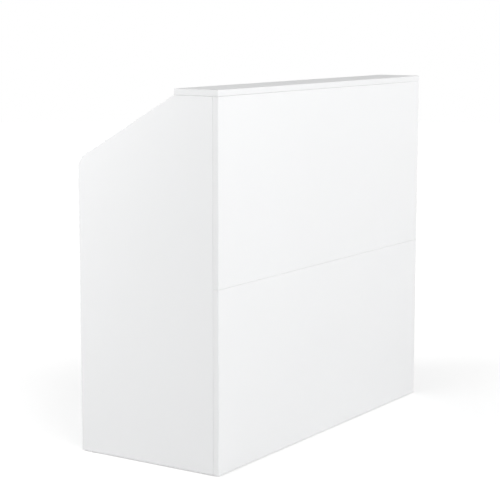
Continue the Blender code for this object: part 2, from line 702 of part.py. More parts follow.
def add_drawer_box(axis):
    """The drawer's front, sides and back, with the bottom in a groove all round."""
    low, high = DRAWER_SIDE_LOW, DRAWER_SIDE_HIGH
    back, front = DRAWER_BOX_BACK, DRAWER_BOX_FRONT
    left, right = DRAWER_LEFT + LIGHT_BOARD, DRAWER_RIGHT - LIGHT_BOARD
    front_low = (DIVIDER_RIGHT + REVEAL, PEDESTAL_FRONT_BACK, DRAWER_FRONT_LOW)
    front_high = (SIDE_INNER - REVEAL, PEDESTAL_FACE, DRAWER_FRONT_HIGH)
    add_board("drawer_front", block(front_low, front_high), axis)
    add_board("drawer_left_side", block((DRAWER_LEFT, back, low), (left, front, high)), axis)
    add_board("drawer_right_side", block((right, back, low), (DRAWER_RIGHT, front, high)), axis)
    back_low = (left + JOINT_GAP, back, low)
    back_high = (right - JOINT_GAP, back + LIGHT_BOARD, high)
    add_board("drawer_back", block(back_low, back_high), axis)
    groove = BOTTOM_GROOVE_DEPTH
    floor_low = Vector((left - groove, back + LIGHT_BOARD - groove, low + BOTTOM_GROOVE_RAISE))
    floor_high = Vector((right + groove, front + groove, floor_low.z + HARDBOARD))
    add_piece("drawer_bottom", block(floor_low, floor_high), WHITE_HARDBOARD, axis)
    slack = Vector((JOINT_GAP, JOINT_GAP, JOINT_GAP))
    for name in ("drawer_front", "drawer_left_side", "drawer_right_side", "drawer_back"):
        cut(name, "bottom_groove", block(floor_low - slack, floor_high + slack))
    for name, outer, inner, inside in (
        ("drawer_left_side", DRAWER_LEFT, left, X),
        ("drawer_right_side", DRAWER_RIGHT, right, -X),
    ):
        middle = (outer + inner) / 2
        cam_place = (middle, PEDESTAL_FRONT_BACK, low + DRAWER_CAM_RAISE)
        cam_joint("drawer_front", name, cam_place, -Y, inside, LIGHT_BOARD)
        dowel("drawer_front", name, (middle, PEDESTAL_FRONT_BACK, low + DRAWER_DOWEL_INSET), -Y)
        for z in (low + DRAWER_DOWEL_INSET, high - DRAWER_DOWEL_INSET):
            dowel(name, "drawer_back", (inner, back + LIGHT_BOARD / 2, z), inside)


def add_drawer_slides(drawer_axis, middle_axis):
    """A slide of three members on each side of the drawer."""
    middle_height = within(SLIDE_HEIGHT)
    outer = slide_section(JOINT_GAP, SLIDE_HEIGHT, OUTER_FLANGE, 1)
    middle = slide_section(JOINT_GAP + SLIDE_MIDDLE_OFFSET, middle_height, INNER_FLANGE, 1)
    inner = slide_section(JOINT_GAP + SLIDE_WIDTH, within(middle_height), INNER_FLANGE, -1)
    for side, wall, x, inward in (
        ("left", "pedestal_divider", DIVIDER_RIGHT, X),
        ("right", "right_side_panel", SIDE_INNER, -X),
    ):
        for member, section, axis in (
            ("outer", outer, None),
            ("middle", middle, middle_axis),
            ("inner", inner, drawer_axis),
        ):
            slide_member(
                f"drawer_slide_{member}_{side}",
                section,
                x,
                inward,
                DRAWER_BOX_BACK,
                DRAWER_BOX_FRONT,
                DRAWER_RUN_HEIGHT,
                axis,
            )
        reach = JOINT_GAP + SLIDE_STEEL
        for y in (DRAWER_BOX_FRONT - 2 * SLIDE_END_SCREW, DRAWER_BOX_BACK + 2 * SLIDE_END_SCREW):
            seat = Vector((x, y, DRAWER_RUN_HEIGHT)) + inward * reach
            screw(f"drawer_slide_outer_{side}", wall, seat, -inward)
        for y in (DRAWER_BOX_FRONT - SLIDE_END_SCREW, DRAWER_BOX_BACK + SLIDE_END_SCREW):
            seat = Vector((x, y, DRAWER_RUN_HEIGHT)) + inward * (SLIDE_SPACE - reach)
            screw(f"drawer_slide_inner_{side}", f"drawer_{side}_side", seat, inward)


LOCK_HEIGHT = DRAWER_FRONT_HIGH - LOCK_DROP
LOCK_BARREL_END = PEDESTAL_FRONT_BACK - LOCK_BARREL_BEHIND
LOCK_FLANGE_FACE = PEDESTAL_FACE + JOINT_GAP + LOCK_FLANGE_THICKNESS
LOCK_PLUG_FACE = LOCK_FLANGE_FACE - LOCK_PLUG_SUNK
LOCK_LINE = Vector((PEDESTAL_MIDDLE, 0, LOCK_HEIGHT))
TONGUE_FACE = LOCK_BARREL_END - JOINT_GAP
TONGUE_BACK = TONGUE_FACE - TONGUE_THICKNESS


def add_lock_body(drawer_axis):
    """The barrel with its flange, through the drawer front."""
    bore = LOCK_PLUG_RADIUS + JOINT_GAP
    flange_back = PEDESTAL_FACE + JOINT_GAP
    shape = [
        (LOCK_BARREL_END, bore),
        (LOCK_BARREL_END, LOCK_BARREL_RADIUS),
        (flange_back, LOCK_BARREL_RADIUS),
        (flange_back, LOCK_FLANGE_RADIUS),
        (LOCK_FLANGE_FACE, LOCK_FLANGE_RADIUS),
        (LOCK_FLANGE_FACE, bore),
    ]
    body = turned(shape, LOCK_LINE, Y, LOCK_SIDES, ring=True)
    add_piece("lock_body", body, NICKEL, drawer_axis, smooth=True)
    mouth = LOCK_LINE + Y * PEDESTAL_FRONT_BACK
    radius = LOCK_BARREL_RADIUS + JOINT_GAP
    drill("drawer_front", mouth, Y, BOARD + CUT_OVERRUN, radius, LOCK_SIDES)


def add_lock_plug():
    """The plug that the key turns, with its keyway, its tongue and the tongue's nut."""
    axis = add_axis("lock_turn", LOCK_LINE + Y * PEDESTAL_FACE)
    shape = [
        (LOCK_BARREL_END - LOCK_STUD_LENGTH, 0),
        (LOCK_BARREL_END - LOCK_STUD_LENGTH, LOCK_STUD_RADIUS),
        (LOCK_BARREL_END, LOCK_STUD_RADIUS),
        (LOCK_BARREL_END, LOCK_PLUG_RADIUS),
        (LOCK_PLUG_FACE, LOCK_PLUG_RADIUS),
        (LOCK_PLUG_FACE, 0),
    ]
    add_piece("lock_plug", turned(shape, LOCK_LINE, Y, LOCK_SIDES), NICKEL, axis, smooth=True)
    half = Vector((KEY_THICKNESS / 2 + JOINT_GAP, 0, KEY_BLADE_HEIGHT / 2 + JOINT_GAP))
    keyway_end = LOCK_PLUG_FACE - KEY_BLADE_LENGTH - JOINT_GAP
    low = LOCK_LINE + Y * keyway_end - half
    cut("lock_plug", "keyway", block(low, LOCK_LINE + Y * (LOCK_PLUG_FACE + CUT_OVERRUN) + half))

    half_width = TONGUE_WIDTH / 2
    half_tip = TONGUE_TIP_WIDTH / 2
    side = math.asin(half_tip / half_width)
    outline = [
        *arc((0, 0), half_width, side - math.pi, 2 * (math.pi - side), CAM_SIDES),
        (-TONGUE_REACH, half_tip),
        (-TONGUE_REACH, -half_tip),
    ]
    points = [LOCK_LINE + Vector((a, TONGUE_BACK, b)) for a, b in outline]
    add_piece("lock_tongue", prism(points, Y * TONGUE_THICKNESS), ZINC, axis)
    bore = LOCK_STUD_RADIUS + JOINT_GAP
    through = TONGUE_THICKNESS + CUT_OVERRUN
    drill("lock_tongue", LOCK_LINE + Y * TONGUE_BACK, Y, through, bore, CAM_SIDES)
    nut_face = TONGUE_BACK - JOINT_GAP
    nut = [
        (nut_face - LOCK_NUT_THICKNESS, bore),
        (nut_face - LOCK_NUT_THICKNESS, LOCK_NUT_RADIUS),
        (nut_face, LOCK_NUT_RADIUS),
        (nut_face, bore),
    ]
    add_piece("lock_nut", turned(nut, LOCK_LINE, Y, CAM_SIDES, ring=True), ZINC, axis)


def add_key():
    """A flat key, all the way in, with a round bow."""
    axis = add_axis("key_pull", LOCK_LINE + Y * LOCK_FLANGE_FACE)
    blade_end = LOCK_PLUG_FACE - KEY_BLADE_LENGTH
    shoulder = LOCK_FLANGE_FACE + JOINT_GAP
    half_blade = KEY_BLADE_HEIGHT / 2
    half_neck = KEY_NECK_HEIGHT / 2
    side = math.asin(half_neck / KEY_BOW_RADIUS)
    bow_middle = shoulder + KEY_NECK_LENGTH + KEY_BOW_RADIUS * math.cos(side)
    outline = [
        (shoulder, half_neck),
        (shoulder, half_blade),
        (blade_end, half_blade),
        (blade_end, -half_blade),
        (shoulder, -half_blade),
        (shoulder, -half_neck),
        *arc((bow_middle, 0), KEY_BOW_RADIUS, side - math.pi, 2 * (math.pi - side), LOCK_SIDES),
    ]
    corner = LOCK_LINE - X * KEY_THICKNESS / 2
    points = [corner + Vector((0, y, z)) for y, z in outline]
    add_piece("drawer_key", prism(points, X * KEY_THICKNESS), NICKEL, axis)
    mouth = corner + Y * (bow_middle + KEY_BOW_RADIUS / 2)
    through = KEY_THICKNESS + CUT_OVERRUN
    drill("drawer_key", mouth, X, through, KEY_RING_HOLE_RADIUS, CAM_SIDES)


def add_strike():
    """The steel angle under the work surface that the lock's tongue turns up behind."""
    back = TONGUE_FACE + STRIKE_PLAY
    front = back + STRIKE_STEEL
    top = DESK_UNDERSIDE - JOINT_GAP
    outline = [
        (front, top),
        (front, top - STRIKE_DROP),
        (back, top - STRIKE_DROP),
        (back, top - STRIKE_STEEL),
        (front - STRIKE_FLANGE, top - STRIKE_STEEL),
        (front - STRIKE_FLANGE, top),
    ]
    left = PEDESTAL_MIDDLE - STRIKE_WIDTH / 2
    add_piece("lock_strike", prism([(left, y, z) for y, z in outline], X * STRIKE_WIDTH), ZINC)
    for side in (-1, 1):
        x = PEDESTAL_MIDDLE + side * STRIKE_SCREW_PITCH / 2
        seat = (x, front - STRIKE_FLANGE / 2, top - STRIKE_STEEL)
        screw("lock_strike", "work_surface", seat, Z)


def add_drawer():
    """The drawer with its slides, handle and lock."""
    place = (PEDESTAL_MIDDLE, PEDESTAL_FACE, DRAWER_RUN_HEIGHT)
    drawer_axis = add_axis("drawer_run", place)
    add_drawer_box(drawer_axis)
    add_drawer_slides(drawer_axis, add_axis("drawer_slide_run", place))
    middle = Vector((PEDESTAL_MIDDLE, PEDESTAL_FACE, DRAWER_FRONT_LOW + DRAWER_HANDLE_RISE))
    add_handle("drawer_handle", "drawer_front", middle, X, drawer_axis)
    add_lock_body(drawer_axis)
    add_lock_plug()
    add_key()
    add_strike()


HINGE_LINE_X = SIDE_INNER - JOINT_GAP - KNUCKLE_RADIUS
HINGE_LINE_Y = PEDESTAL_FACE + KNUCKLE_STANDOFF + KNUCKLE_RADIUS
KNUCKLE_BORE = KNUCKLE_RADIUS - HINGE_STEEL
HINGE_PIN_RADIUS = KNUCKLE_BORE - JOINT_GAP
DOOR_LEFT = DIVIDER_RIGHT + REVEAL
DOOR_RIGHT = HINGE_LINE_X + KNUCKLE_BORE - JOINT_GAP
DOOR_LOW = PEDESTAL_FLOOR + REVEAL
DOOR_HIGH = DRAWER_SHELF_UNDERSIDE - REVEAL


def hinge_leaf(depth, low, height):
    """A plate along the door's edge that curls round the hinge pin."""
    plate = [(KNUCKLE_BORE, -depth), (KNUCKLE_RADIUS, -depth)]
    outer = arc((0, 0), KNUCKLE_RADIUS, 0, CURL_TURN, CURL_STEPS)
    inner = arc((0, 0), KNUCKLE_BORE, CURL_TURN, -CURL_TURN, CURL_STEPS)
    line = Vector((HINGE_LINE_X, HINGE_LINE_Y, low))
    return prism([line + Vector((x, y, 0)) for x, y in plate + outer + inner], Z * height)


def add_hinge(prefix, height, door_axis):
    """The cabinet leaf with the end knuckles, the door leaf in its window, and the headed pin."""
    cabinet_leaf = f"{prefix}_hinge_cabinet_leaf"
    door_leaf = f"{prefix}_hinge_door_leaf"
    shape = hinge_leaf(CABINET_LEAF_DEPTH, height - HINGE_HEIGHT / 2, HINGE_HEIGHT)
    add_piece(cabinet_leaf, shape, NICKEL)
    shape = hinge_leaf(DOOR_LEAF_DEPTH, height - DOOR_LEAF_HEIGHT / 2, DOOR_LEAF_HEIGHT)
    add_piece(door_leaf, shape, NICKEL, door_axis)
    line = Vector((HINGE_LINE_X, HINGE_LINE_Y, height))
    window = DOOR_LEAF_HEIGHT / 2 + JOINT_GAP
    reach = KNUCKLE_RADIUS + CUT_OVERRUN
    window_low = line - Vector((reach, DOOR_LEAF_DEPTH + JOINT_GAP, window))
    cut(cabinet_leaf, "window", block(window_low, line + Vector((reach, reach, window))))
    screw_y = PEDESTAL_FRONT_BACK + BOARD / 2
    for side in (-1, 1):
        seat = (line.x + KNUCKLE_BORE, screw_y, height + side * HINGE_SCREW_RISE)
        flush_screw(cabinet_leaf, "right_side_panel", seat, X)
    flush_screw(door_leaf, "cabinet_door", (line.x + KNUCKLE_RADIUS, screw_y, height), -X)
    half = HINGE_HEIGHT / 2 + JOINT_GAP
    end = half + HINGE_PIN_HEAD_HEIGHT
    pin = [
        (-end, 0),
        (-end, HINGE_PIN_HEAD_RADIUS),
        (-half, HINGE_PIN_HEAD_RADIUS),
        (-half, HINGE_PIN_RADIUS),
        (half, HINGE_PIN_RADIUS),
        (half, HINGE_PIN_HEAD_RADIUS),
        (end, HINGE_PIN_HEAD_RADIUS),
        (end, 0),
    ]
    add_piece(f"{prefix}_hinge_pin", turned(pin, line, Z, CAM_SIDES), NICKEL, smooth=True)


def add_catch(door_axis):
    """The magnet under the drawer shelf and its steel plate on the door."""
    x = DIVIDER_RIGHT + CATCH_INSET
    plate_back = PEDESTAL_FRONT_BACK - JOINT_GAP
    plate_face = plate_back - CATCH_PLATE_STEEL
    half_plate = CATCH_PLATE_LENGTH / 2
    plate_top = DOOR_HIGH - REVEAL
    plate_low = (x - half_plate, plate_face, plate_top - CATCH_PLATE_HEIGHT)
    plate = block(plate_low, (x + half_plate, plate_back, plate_top))
    add_piece("catch_plate", plate, ZINC, door_axis)
    middle = (x, plate_face, plate_top - CATCH_PLATE_HEIGHT / 2)
    flush_screw("catch_plate", "cabinet_door", middle, Y)
    front = plate_face - JOINT_GAP
    top = DRAWER_SHELF_UNDERSIDE - JOINT_GAP
    half = CATCH_LENGTH / 2
    low = (x - half, front - CATCH_DEPTH, top - CATCH_HEIGHT)
    add_piece("magnetic_catch", block(low, (x + half, front, top)), WHITE_PLASTIC)
    for side in (-1, 1):
        seat = (x + side * CATCH_SCREW_PITCH / 2, front - CATCH_DEPTH / 2, top - CATCH_HEIGHT)
        screw("magnetic_catch", "drawer_shelf", seat, Z, CATCH_SCREW_LENGTH)


def add_door():
    """The cabinet door on two hinges, with its handle and catch."""
    axis = add_axis("door_swing", (HINGE_LINE_X, HINGE_LINE_Y, (DOOR_LOW + DOOR_HIGH) / 2))
    door_low = (DOOR_LEFT, PEDESTAL_FRONT_BACK, DOOR_LOW)
    add_board("cabinet_door", block(door_low, (DOOR_RIGHT, PEDESTAL_FACE, DOOR_HIGH)), axis)
    add_hinge("upper", DOOR_HIGH - HINGE_INSET, axis)
    add_hinge("lower", DOOR_LOW + HINGE_INSET, axis)
    middle = Vector((DOOR_LEFT + DOOR_HANDLE_INSET, PEDESTAL_FACE, DOOR_HIGH - DOOR_HANDLE_DROP))
    add_handle("door_handle", "cabinet_door", middle, Z, axis)
    add_catch(axis)


TRAY_MIDDLE = (DIVIDER_LEFT - SIDE_INNER) / 2
TRAY_LEFT = TRAY_SIDE_SPACE - SIDE_INNER
TRAY_RIGHT = DIVIDER_LEFT - TRAY_SIDE_SPACE
TRAY_FRONT = FRONT_INNER + TRAY_REAR_SPACE
TRAY_REAR = REAR_EDGE - TRAY_EDGE_SETBACK
TRAY_TOP = DESK_UNDERSIDE - TRAY_DROP
TRAY_RUN_HEIGHT = TRAY_TOP - LIGHT_BOARD / 2


def add_hanger(side, wall, inward):
    """A steel angle under the work surface that carries a slide on its upright leg."""
    name = f"tray_hanger_{side}"
    top = DESK_UNDERSIDE - JOINT_GAP
    bottom = TRAY_RUN_HEIGHT - TRAY_SLIDE_HEIGHT / 2 - HANGER_TAIL
    front = TRAY_FRONT + HANGER_SETBACK
    length = TRAY_REAR - HANGER_SETBACK - front
    outline = [
        (0, bottom),
        (0, top),
        (HANGER_FLANGE, top),
        (HANGER_FLANGE, top - HANGER_STEEL),
        (HANGER_STEEL, top - HANGER_STEEL),
        (HANGER_STEEL, bottom),
    ]
    points = [(wall - inward.x * x, front, z) for x, z in outline]
    add_piece(name, prism(points, Y * length), ZINC)
    flange_middle = wall - inward.x * (HANGER_FLANGE + HANGER_STEEL) / 2
    grip = SLIDE_STEEL + JOINT_GAP + HANGER_STEEL + JOINT_GAP
    for share in HANGER_SCREW_SHARES:
        y = front + length * share
        screw(name, "work_surface", (flange_middle, y, top - HANGER_STEEL), Z)
        seat = Vector((wall, y, TRAY_RUN_HEIGHT)) + inward * (JOINT_GAP + SLIDE_STEEL)
        hold(f"tray_slide_outer_{side}", fastener(seat, -inward, JOINT_GAP, grip, RIVET_TAIL))
        screw_hole(name, Vector((wall, y, TRAY_RUN_HEIGHT)), -inward, HANGER_STEEL + CUT_OVERRUN)


def add_tray():
    """The keyboard tray between two slides of two members, on hangers under the work surface."""
    axis = add_axis("tray_run", (TRAY_MIDDLE, TRAY_REAR, TRAY_RUN_HEIGHT))
    low = (TRAY_LEFT, TRAY_FRONT, TRAY_TOP - LIGHT_BOARD)
    add_board("keyboard_tray", block(low, (TRAY_RIGHT, TRAY_REAR, TRAY_TOP)), axis)
    outer = slide_section(JOINT_GAP, TRAY_SLIDE_HEIGHT, OUTER_FLANGE, 1)
    inner = slide_section(JOINT_GAP + SLIDE_WIDTH, within(TRAY_SLIDE_HEIGHT), INNER_FLANGE, -1)
    walls = (("left", TRAY_LEFT - SLIDE_SPACE, X), ("right", TRAY_RIGHT + SLIDE_SPACE, -X))
    for side, wall, inward in walls:
        for member, section, parent in (("outer", outer, None), ("inner", inner, axis)):
            slide_member(
                f"tray_slide_{member}_{side}",
                section,
                wall,
                inward,
                TRAY_FRONT,
                TRAY_REAR,
                TRAY_RUN_HEIGHT,
                parent,
            )
        add_hanger(side, wall, inward)
        for y in (TRAY_REAR - SLIDE_END_SCREW, TRAY_FRONT + SLIDE_END_SCREW):
            reach = SLIDE_WIDTH + JOINT_GAP - SLIDE_STEEL
            seat = Vector((wall, y, TRAY_RUN_HEIGHT)) + inward * reach
            screw(f"tray_slide_inner_{side}", "keyboard_tray", seat, inward)


def add_outlet():
    """A lined cable hole in the work surface, with a notched cap that lifts out."""
    middle = Vector((OUTLET_FROM_SIDE - SIDE_INNER, FRONT_INNER + OUTLET_FROM_FRONT, 0))
    bore = OUTLET_RADIUS - LINER_WALL
    flange_low = DESK_HEIGHT + JOINT_GAP
    flange_high = flange_low + LINER_FLANGE_THICKNESS
    cap_low = flange_high - OUTLET_CAP_THICKNESS
    ledge_high = cap_low - JOINT_GAP
    liner = [
        (DESK_UNDERSIDE, bore),
        (DESK_UNDERSIDE, OUTLET_RADIUS),
        (flange_low, OUTLET_RADIUS),
        (flange_low, LINER_FLANGE_RADIUS),
        (flange_high, LINER_FLANGE_RADIUS),
        (flange_high, bore),
        (ledge_high, bore),
        (ledge_high, bore - LINER_LEDGE_WIDTH),
        (ledge_high - LINER_LEDGE_HEIGHT, bore - LINER_LEDGE_WIDTH),
        (ledge_high - LINER_LEDGE_HEIGHT, bore),
    ]
    shape = turned(liner, middle, Z, OUTLET_SIDES, ring=True)
    add_piece("outlet_liner", shape, WHITE_PLASTIC, smooth=True)
    mouth = middle + Z * DESK_UNDERSIDE
    hole_radius = OUTLET_RADIUS + JOINT_GAP
    drill("work_surface", mouth, Z, BOARD + CUT_OVERRUN, hole_radius, OUTLET_SIDES)
    axis = add_axis("outlet_cap_lift", middle + Z * flange_high)
    cap = rod(middle + Z * cap_low, Z, OUTLET_CAP_THICKNESS, bore - JOINT_GAP, OUTLET_SIDES)
    add_piece("outlet_cap", cap, WHITE_PLASTIC, axis, smooth=True)
    half = OUTLET_NOTCH_WIDTH / 2
    notch_low = middle + Vector((-half, bore - OUTLET_NOTCH_DEPTH, cap_low - CUT_OVERRUN))
    notch_high = middle + Vector((half, bore + CUT_OVERRUN, flange_high + CUT_OVERRUN))
    cut("outlet_cap", "cable_notch", block(notch_low, notch_high))


def make_counter():
    add_outer_boards()
    add_inner_boards()
    join_sides()
    join_front()
    join_pedestal()
    join_hutch()
    add_glides()
    add_loose_shelf()
    add_drawer()
    add_door()
    add_tray()
    add_outlet()
    finish_pieces()


make_counter()
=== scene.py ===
"""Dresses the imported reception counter: white laminated boards, their cams and edge tape, the
fittings of the drawer, door and keyboard tray, and the studio that it is photographed in.

Metres, in the counter's own frame: Z up, -Y towards the visitors, +Y towards the staff.
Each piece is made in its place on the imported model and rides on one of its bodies.
"""

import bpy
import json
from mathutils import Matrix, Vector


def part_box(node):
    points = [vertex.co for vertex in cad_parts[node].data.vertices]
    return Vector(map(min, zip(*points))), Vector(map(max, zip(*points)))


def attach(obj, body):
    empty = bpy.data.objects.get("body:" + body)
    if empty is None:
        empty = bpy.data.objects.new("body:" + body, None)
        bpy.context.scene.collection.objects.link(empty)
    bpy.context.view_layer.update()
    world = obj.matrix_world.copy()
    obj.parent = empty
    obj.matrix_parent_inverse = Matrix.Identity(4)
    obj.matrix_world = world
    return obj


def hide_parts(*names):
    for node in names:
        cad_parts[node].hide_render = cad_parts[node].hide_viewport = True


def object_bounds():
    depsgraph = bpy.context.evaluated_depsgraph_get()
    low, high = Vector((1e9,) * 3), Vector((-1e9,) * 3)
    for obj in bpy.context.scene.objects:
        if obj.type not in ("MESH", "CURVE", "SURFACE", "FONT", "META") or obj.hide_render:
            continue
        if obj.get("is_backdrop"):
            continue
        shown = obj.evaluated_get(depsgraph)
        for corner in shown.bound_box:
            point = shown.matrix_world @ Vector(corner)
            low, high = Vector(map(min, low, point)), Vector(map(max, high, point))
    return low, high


bl_info = {
    "name": "Reception Counter",
    "version": (1, 0, 0),
    "blender": (4, 5, 0),
    "location": "3D View > Sidebar > Counter",
    "description": "Finishes, fittings and studio of a white reception counter",
    "category": "Add Mesh",
}

import json
import math

import bmesh
import bpy
from bmesh.types import BMFace, BMVert
from bpy.props import FloatProperty, FloatVectorProperty, PointerProperty
from bpy.types import Operator, Panel, PropertyGroup
from mathutils import Matrix, Vector

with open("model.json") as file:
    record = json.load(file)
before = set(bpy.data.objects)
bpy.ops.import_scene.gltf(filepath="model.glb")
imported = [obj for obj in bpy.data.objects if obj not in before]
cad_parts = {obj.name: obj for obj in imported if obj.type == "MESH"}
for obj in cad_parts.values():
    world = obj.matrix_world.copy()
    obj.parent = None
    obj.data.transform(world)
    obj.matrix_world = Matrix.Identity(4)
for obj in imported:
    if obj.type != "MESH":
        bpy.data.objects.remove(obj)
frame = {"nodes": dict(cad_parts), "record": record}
packed_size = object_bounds()

X = Vector((1, 0, 0))
Y = Vector((0, 1, 0))
Z = Vector((0, 0, 1))
QUARTER = math.radians(90)
WHITE = (1.0, 1.0, 1.0, 1.0)
PALE_GREY = (0.80, 0.80, 0.80, 1.0)
TINY = 1e-6
SEAT_GAP = 0.0003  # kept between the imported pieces' faces where they touch
BURR = 0.0002  # rounding on the edges of small steel parts
SLIDE_STEEL = 0.0012
SHARP = 0.5  # least angle in radians of an edge that is rounded
SMOOTH_ANGLE = math.radians(32)
HEAD_SIDES = 24
LOCK_SIDES = 48
SLOT_COLOURS = {m["slot"]: m["base_color"] for m in frame["record"]["materials"]}

SLOPING_BOARDS = ("left_side_panel", "right_side_panel")
BOARDS = (
    *SLOPING_BOARDS, "lower_front_panel", "upper_front_panel", "counter_top", "work_surface",
    "pedestal_divider", "pedestal_bottom", "drawer_shelf", "toe_kick", "hutch_divider", "hutch_shelf",
    "adjustable_shelf", "drawer_front", "drawer_left_side", "drawer_right_side", "drawer_back",
    "cabinet_door", "keyboard_tray",
)


# Settings that a user would change


def colour_setting(name, description, default):
    return FloatVectorProperty(
        name=name, description=description, default=default, subtype="COLOR", min=0.0, max=1.0
    )


def length_setting(name, description, default):
    return FloatProperty(
        name=name, description=description, default=default, subtype="DISTANCE", unit="LENGTH", min=0.0
    )


def power_setting(name, description, default):
    return FloatProperty(name=name, description=description, default=default, unit="POWER", min=0.0)


def turn_setting(name, description, degrees):
    default = math.radians(degrees)
    return FloatProperty(name=name, description=description, default=default, subtype="ANGLE")


class CounterFinishes(PropertyGroup):
    laminate: colour_setting("Laminate", "White melamine on the boards", (0.865, 0.870, 0.875))
    hardboard: colour_setting("Hardboard", "Lacquered drawer bottom", SLOT_COLOURS["white_hardboard"])
    zinc: colour_setting("Zinc", "Bright zinc on slides, cams and screws", SLOT_COLOURS["zinc_steel"])
    nickel: colour_setting("Nickel", "Satin nickel on handles, hinges, lock", SLOT_COLOURS["satin_nickel"])
    plastic: colour_setting("Plastic", "Plastic of outlet, catch and glides", SLOT_COLOURS["white_plastic"])
    chipboard: colour_setting("Chipboard", "Raw core in drilled holes and grooves", (0.56, 0.42, 0.27))
    laminate_roughness: FloatProperty(
        name="Laminate Roughness",
        description="Roughness of the melamine's fine texture",
        default=0.40,
        subtype="FACTOR",
        min=0.0,
        max=1.0,
    )
    tape_thickness: length_setting("Tape Thickness", "Edge tape, as its line shows on the faces", 0.001)


class CounterHardware(PropertyGroup):
    cam_radius: length_setting("Cam Radius", "Rim of a cam round its pocket", 0.0086)
    cam_rise: length_setting("Cam Rise", "How far a cam's rim stands over the board", 0.0006)
    screw_radius: length_setting("Screw Radius", "Head of a pan-head screw", 0.0038)
    screw_rise: length_setting("Screw Rise", "Height of a pan head", 0.0021)
    handle_edge: length_setting("Handle Edge", "Rounding along the handles' bars", 0.0014)
    sheet_bend: length_setting("Sheet Bend", "Outer radius where sheet steel is bent", 0.0019)
    moulded_edge: length_setting("Moulded Edge", "Rounding on plastic mouldings", 0.0007)


class CounterStudio(PropertyGroup):
    focal_length: FloatProperty(
        name="Focal Length", description="Camera lens in millimetres", default=111.78, min=10.0
    )
    camera_place: FloatVectorProperty(
        name="Camera Place",
        description="Where the camera stands",
        default=(-4.12281, -2.67341, 1.30954),
        subtype="TRANSLATION",
        unit="LENGTH",
    )
    camera_azimuth: turn_setting("Azimuth", "Turn round the counter", -56.661)
    camera_elevation: turn_setting("Elevation", "Height angle of the view", 8.690)
    camera_roll: turn_setting("Roll", "Tilt of the picture", 0.090)
    sky_level: FloatProperty(name="Sky Level", description="Even light from all round", default=0.34, min=0.0)
    front_left_level: power_setting("Front Left Level", "Power of the lamp at the front left", 59.0)
    front_right_level: power_setting("Front Right Level", "Power of the lamp at the front right", 63.0)
    left_level: power_setting("Left Level", "Power of the lamp at the left side", 41.0)
    staff_level: power_setting("Staff Level", "Power of the lamp on the staff side", 11.0)
    floor_radius: length_setting("Floor Radius", "Reach of the pale floor", 14.0)


# Shapes


def added(made, kind):
    """The vertices or faces that a bmesh operator returned."""
    return [item for item in made["geom"] if isinstance(item, kind)]


def push(bm, faces, along):
    """Extrudes faces along a vector and returns their new ends."""
    made = bmesh.ops.extrude_face_region(bm, geom=faces)
    bmesh.ops.translate(bm, vec=along, verts=added(made, BMVert))
    return added(made, BMFace)


def placed(bm, place):
    """The shape, moved by a matrix."""
    bmesh.ops.transform(bm, matrix=place, verts=bm.verts)
    return bm


def bevel(bm, geom, width, segments, affect="VERTICES"):
    """Rounds an outline's corners, or edges, whose rounding stops where it would overlap."""
    bmesh.ops.bevel(
        bm,
        geom=geom,
        offset=width,
        offset_type="OFFSET",
        segments=segments,
        profile=0.5,
        affect=affect,
        clamp_overlap=affect == "EDGES",
        material=-1,
    )


def ease(bm, width, segments=2, chosen=None):
    """Rounds the sharp edges, or those of them that the test chooses."""
    sharp = [e for e in bm.edges if e.is_manifold and e.calc_face_angle() > SHARP]
    bevel(bm, [e for e in sharp if chosen is None or chosen(e)], width, segments, "EDGES")
    return bm


def outside(radius):
    """A test for edges that lie farther than this from the Z axis."""
    return lambda edge: min(v.co.xy.length for v in edge.verts) > radius


def swept(points, along, rounded=(), hole=None):
    """A solid swept from a flat outline along a vector. Its corners are rounded by (corner number,
    radius), and it may have a hole with a number of sides, a radius and a place."""
    bm = bmesh.new()
    corners = [bm.verts.new(p) for p in points]
    bm.faces.new(corners)
    for number, radius in rounded:
        bevel(bm, [corners[number]], radius, 6)
    if hole is not None:
        sides, radius, place = hole
        bmesh.ops.delete(bm, geom=list(bm.faces), context="FACES_ONLY")
        bmesh.ops.create_circle(bm, segments=sides, radius=radius, matrix=place)
        bmesh.ops.triangle_fill(bm, edges=list(bm.edges), use_beauty=True)
    push(bm, list(bm.faces), along)
    return bm


def block(low, high):
    """A box between two corners."""
    low, high = Vector(low), Vector(high)
    bm = bmesh.new()
    place = Matrix.Translation((low + high) / 2) @ Matrix.Diagonal((*(high - low), 1.0))
    bmesh.ops.create_cube(bm, size=1.0, matrix=place)
    return bm


def line_through(points):
    """An open line of edges, and its vertices."""
    bm = bmesh.new()
    verts = [bm.verts.new(point) for point in points]
    for pair in zip(verts, verts[1:]):
        bm.edges.new(pair)
    return bm, verts


def turned(profile, sides, rounded=()):
    """A round shape about Z from (radius, height) steps, with corners rounded by (corner number, radius)."""
    bm, verts = line_through([(radius, 0, height) for radius, height in profile])
    for number, radius in rounded:
        bevel(bm, [verts[number]], radius, 3)
    bmesh.ops.spin(
        bm,
        geom=list(bm.verts) + list(bm.edges),
        cent=(0, 0, 0),
        axis=Z,
        angle=2 * math.pi,
        steps=sides,
        use_merge=True,
    )
    bmesh.ops.remove_doubles(bm, verts=bm.verts, dist=TINY)
    return bm


def fill_between(bm, height=None):
    """Fills the flat space between the open rims, or between those that lie at a height."""
    rims = [e for e in bm.edges if e.is_boundary]
    if height is not None:
        rims = [e for e in rims if all(abs(v.co.z - height) < TINY for v in e.verts)]
    bmesh.ops.triangle_fill(bm, edges=rims, use_beauty=True)


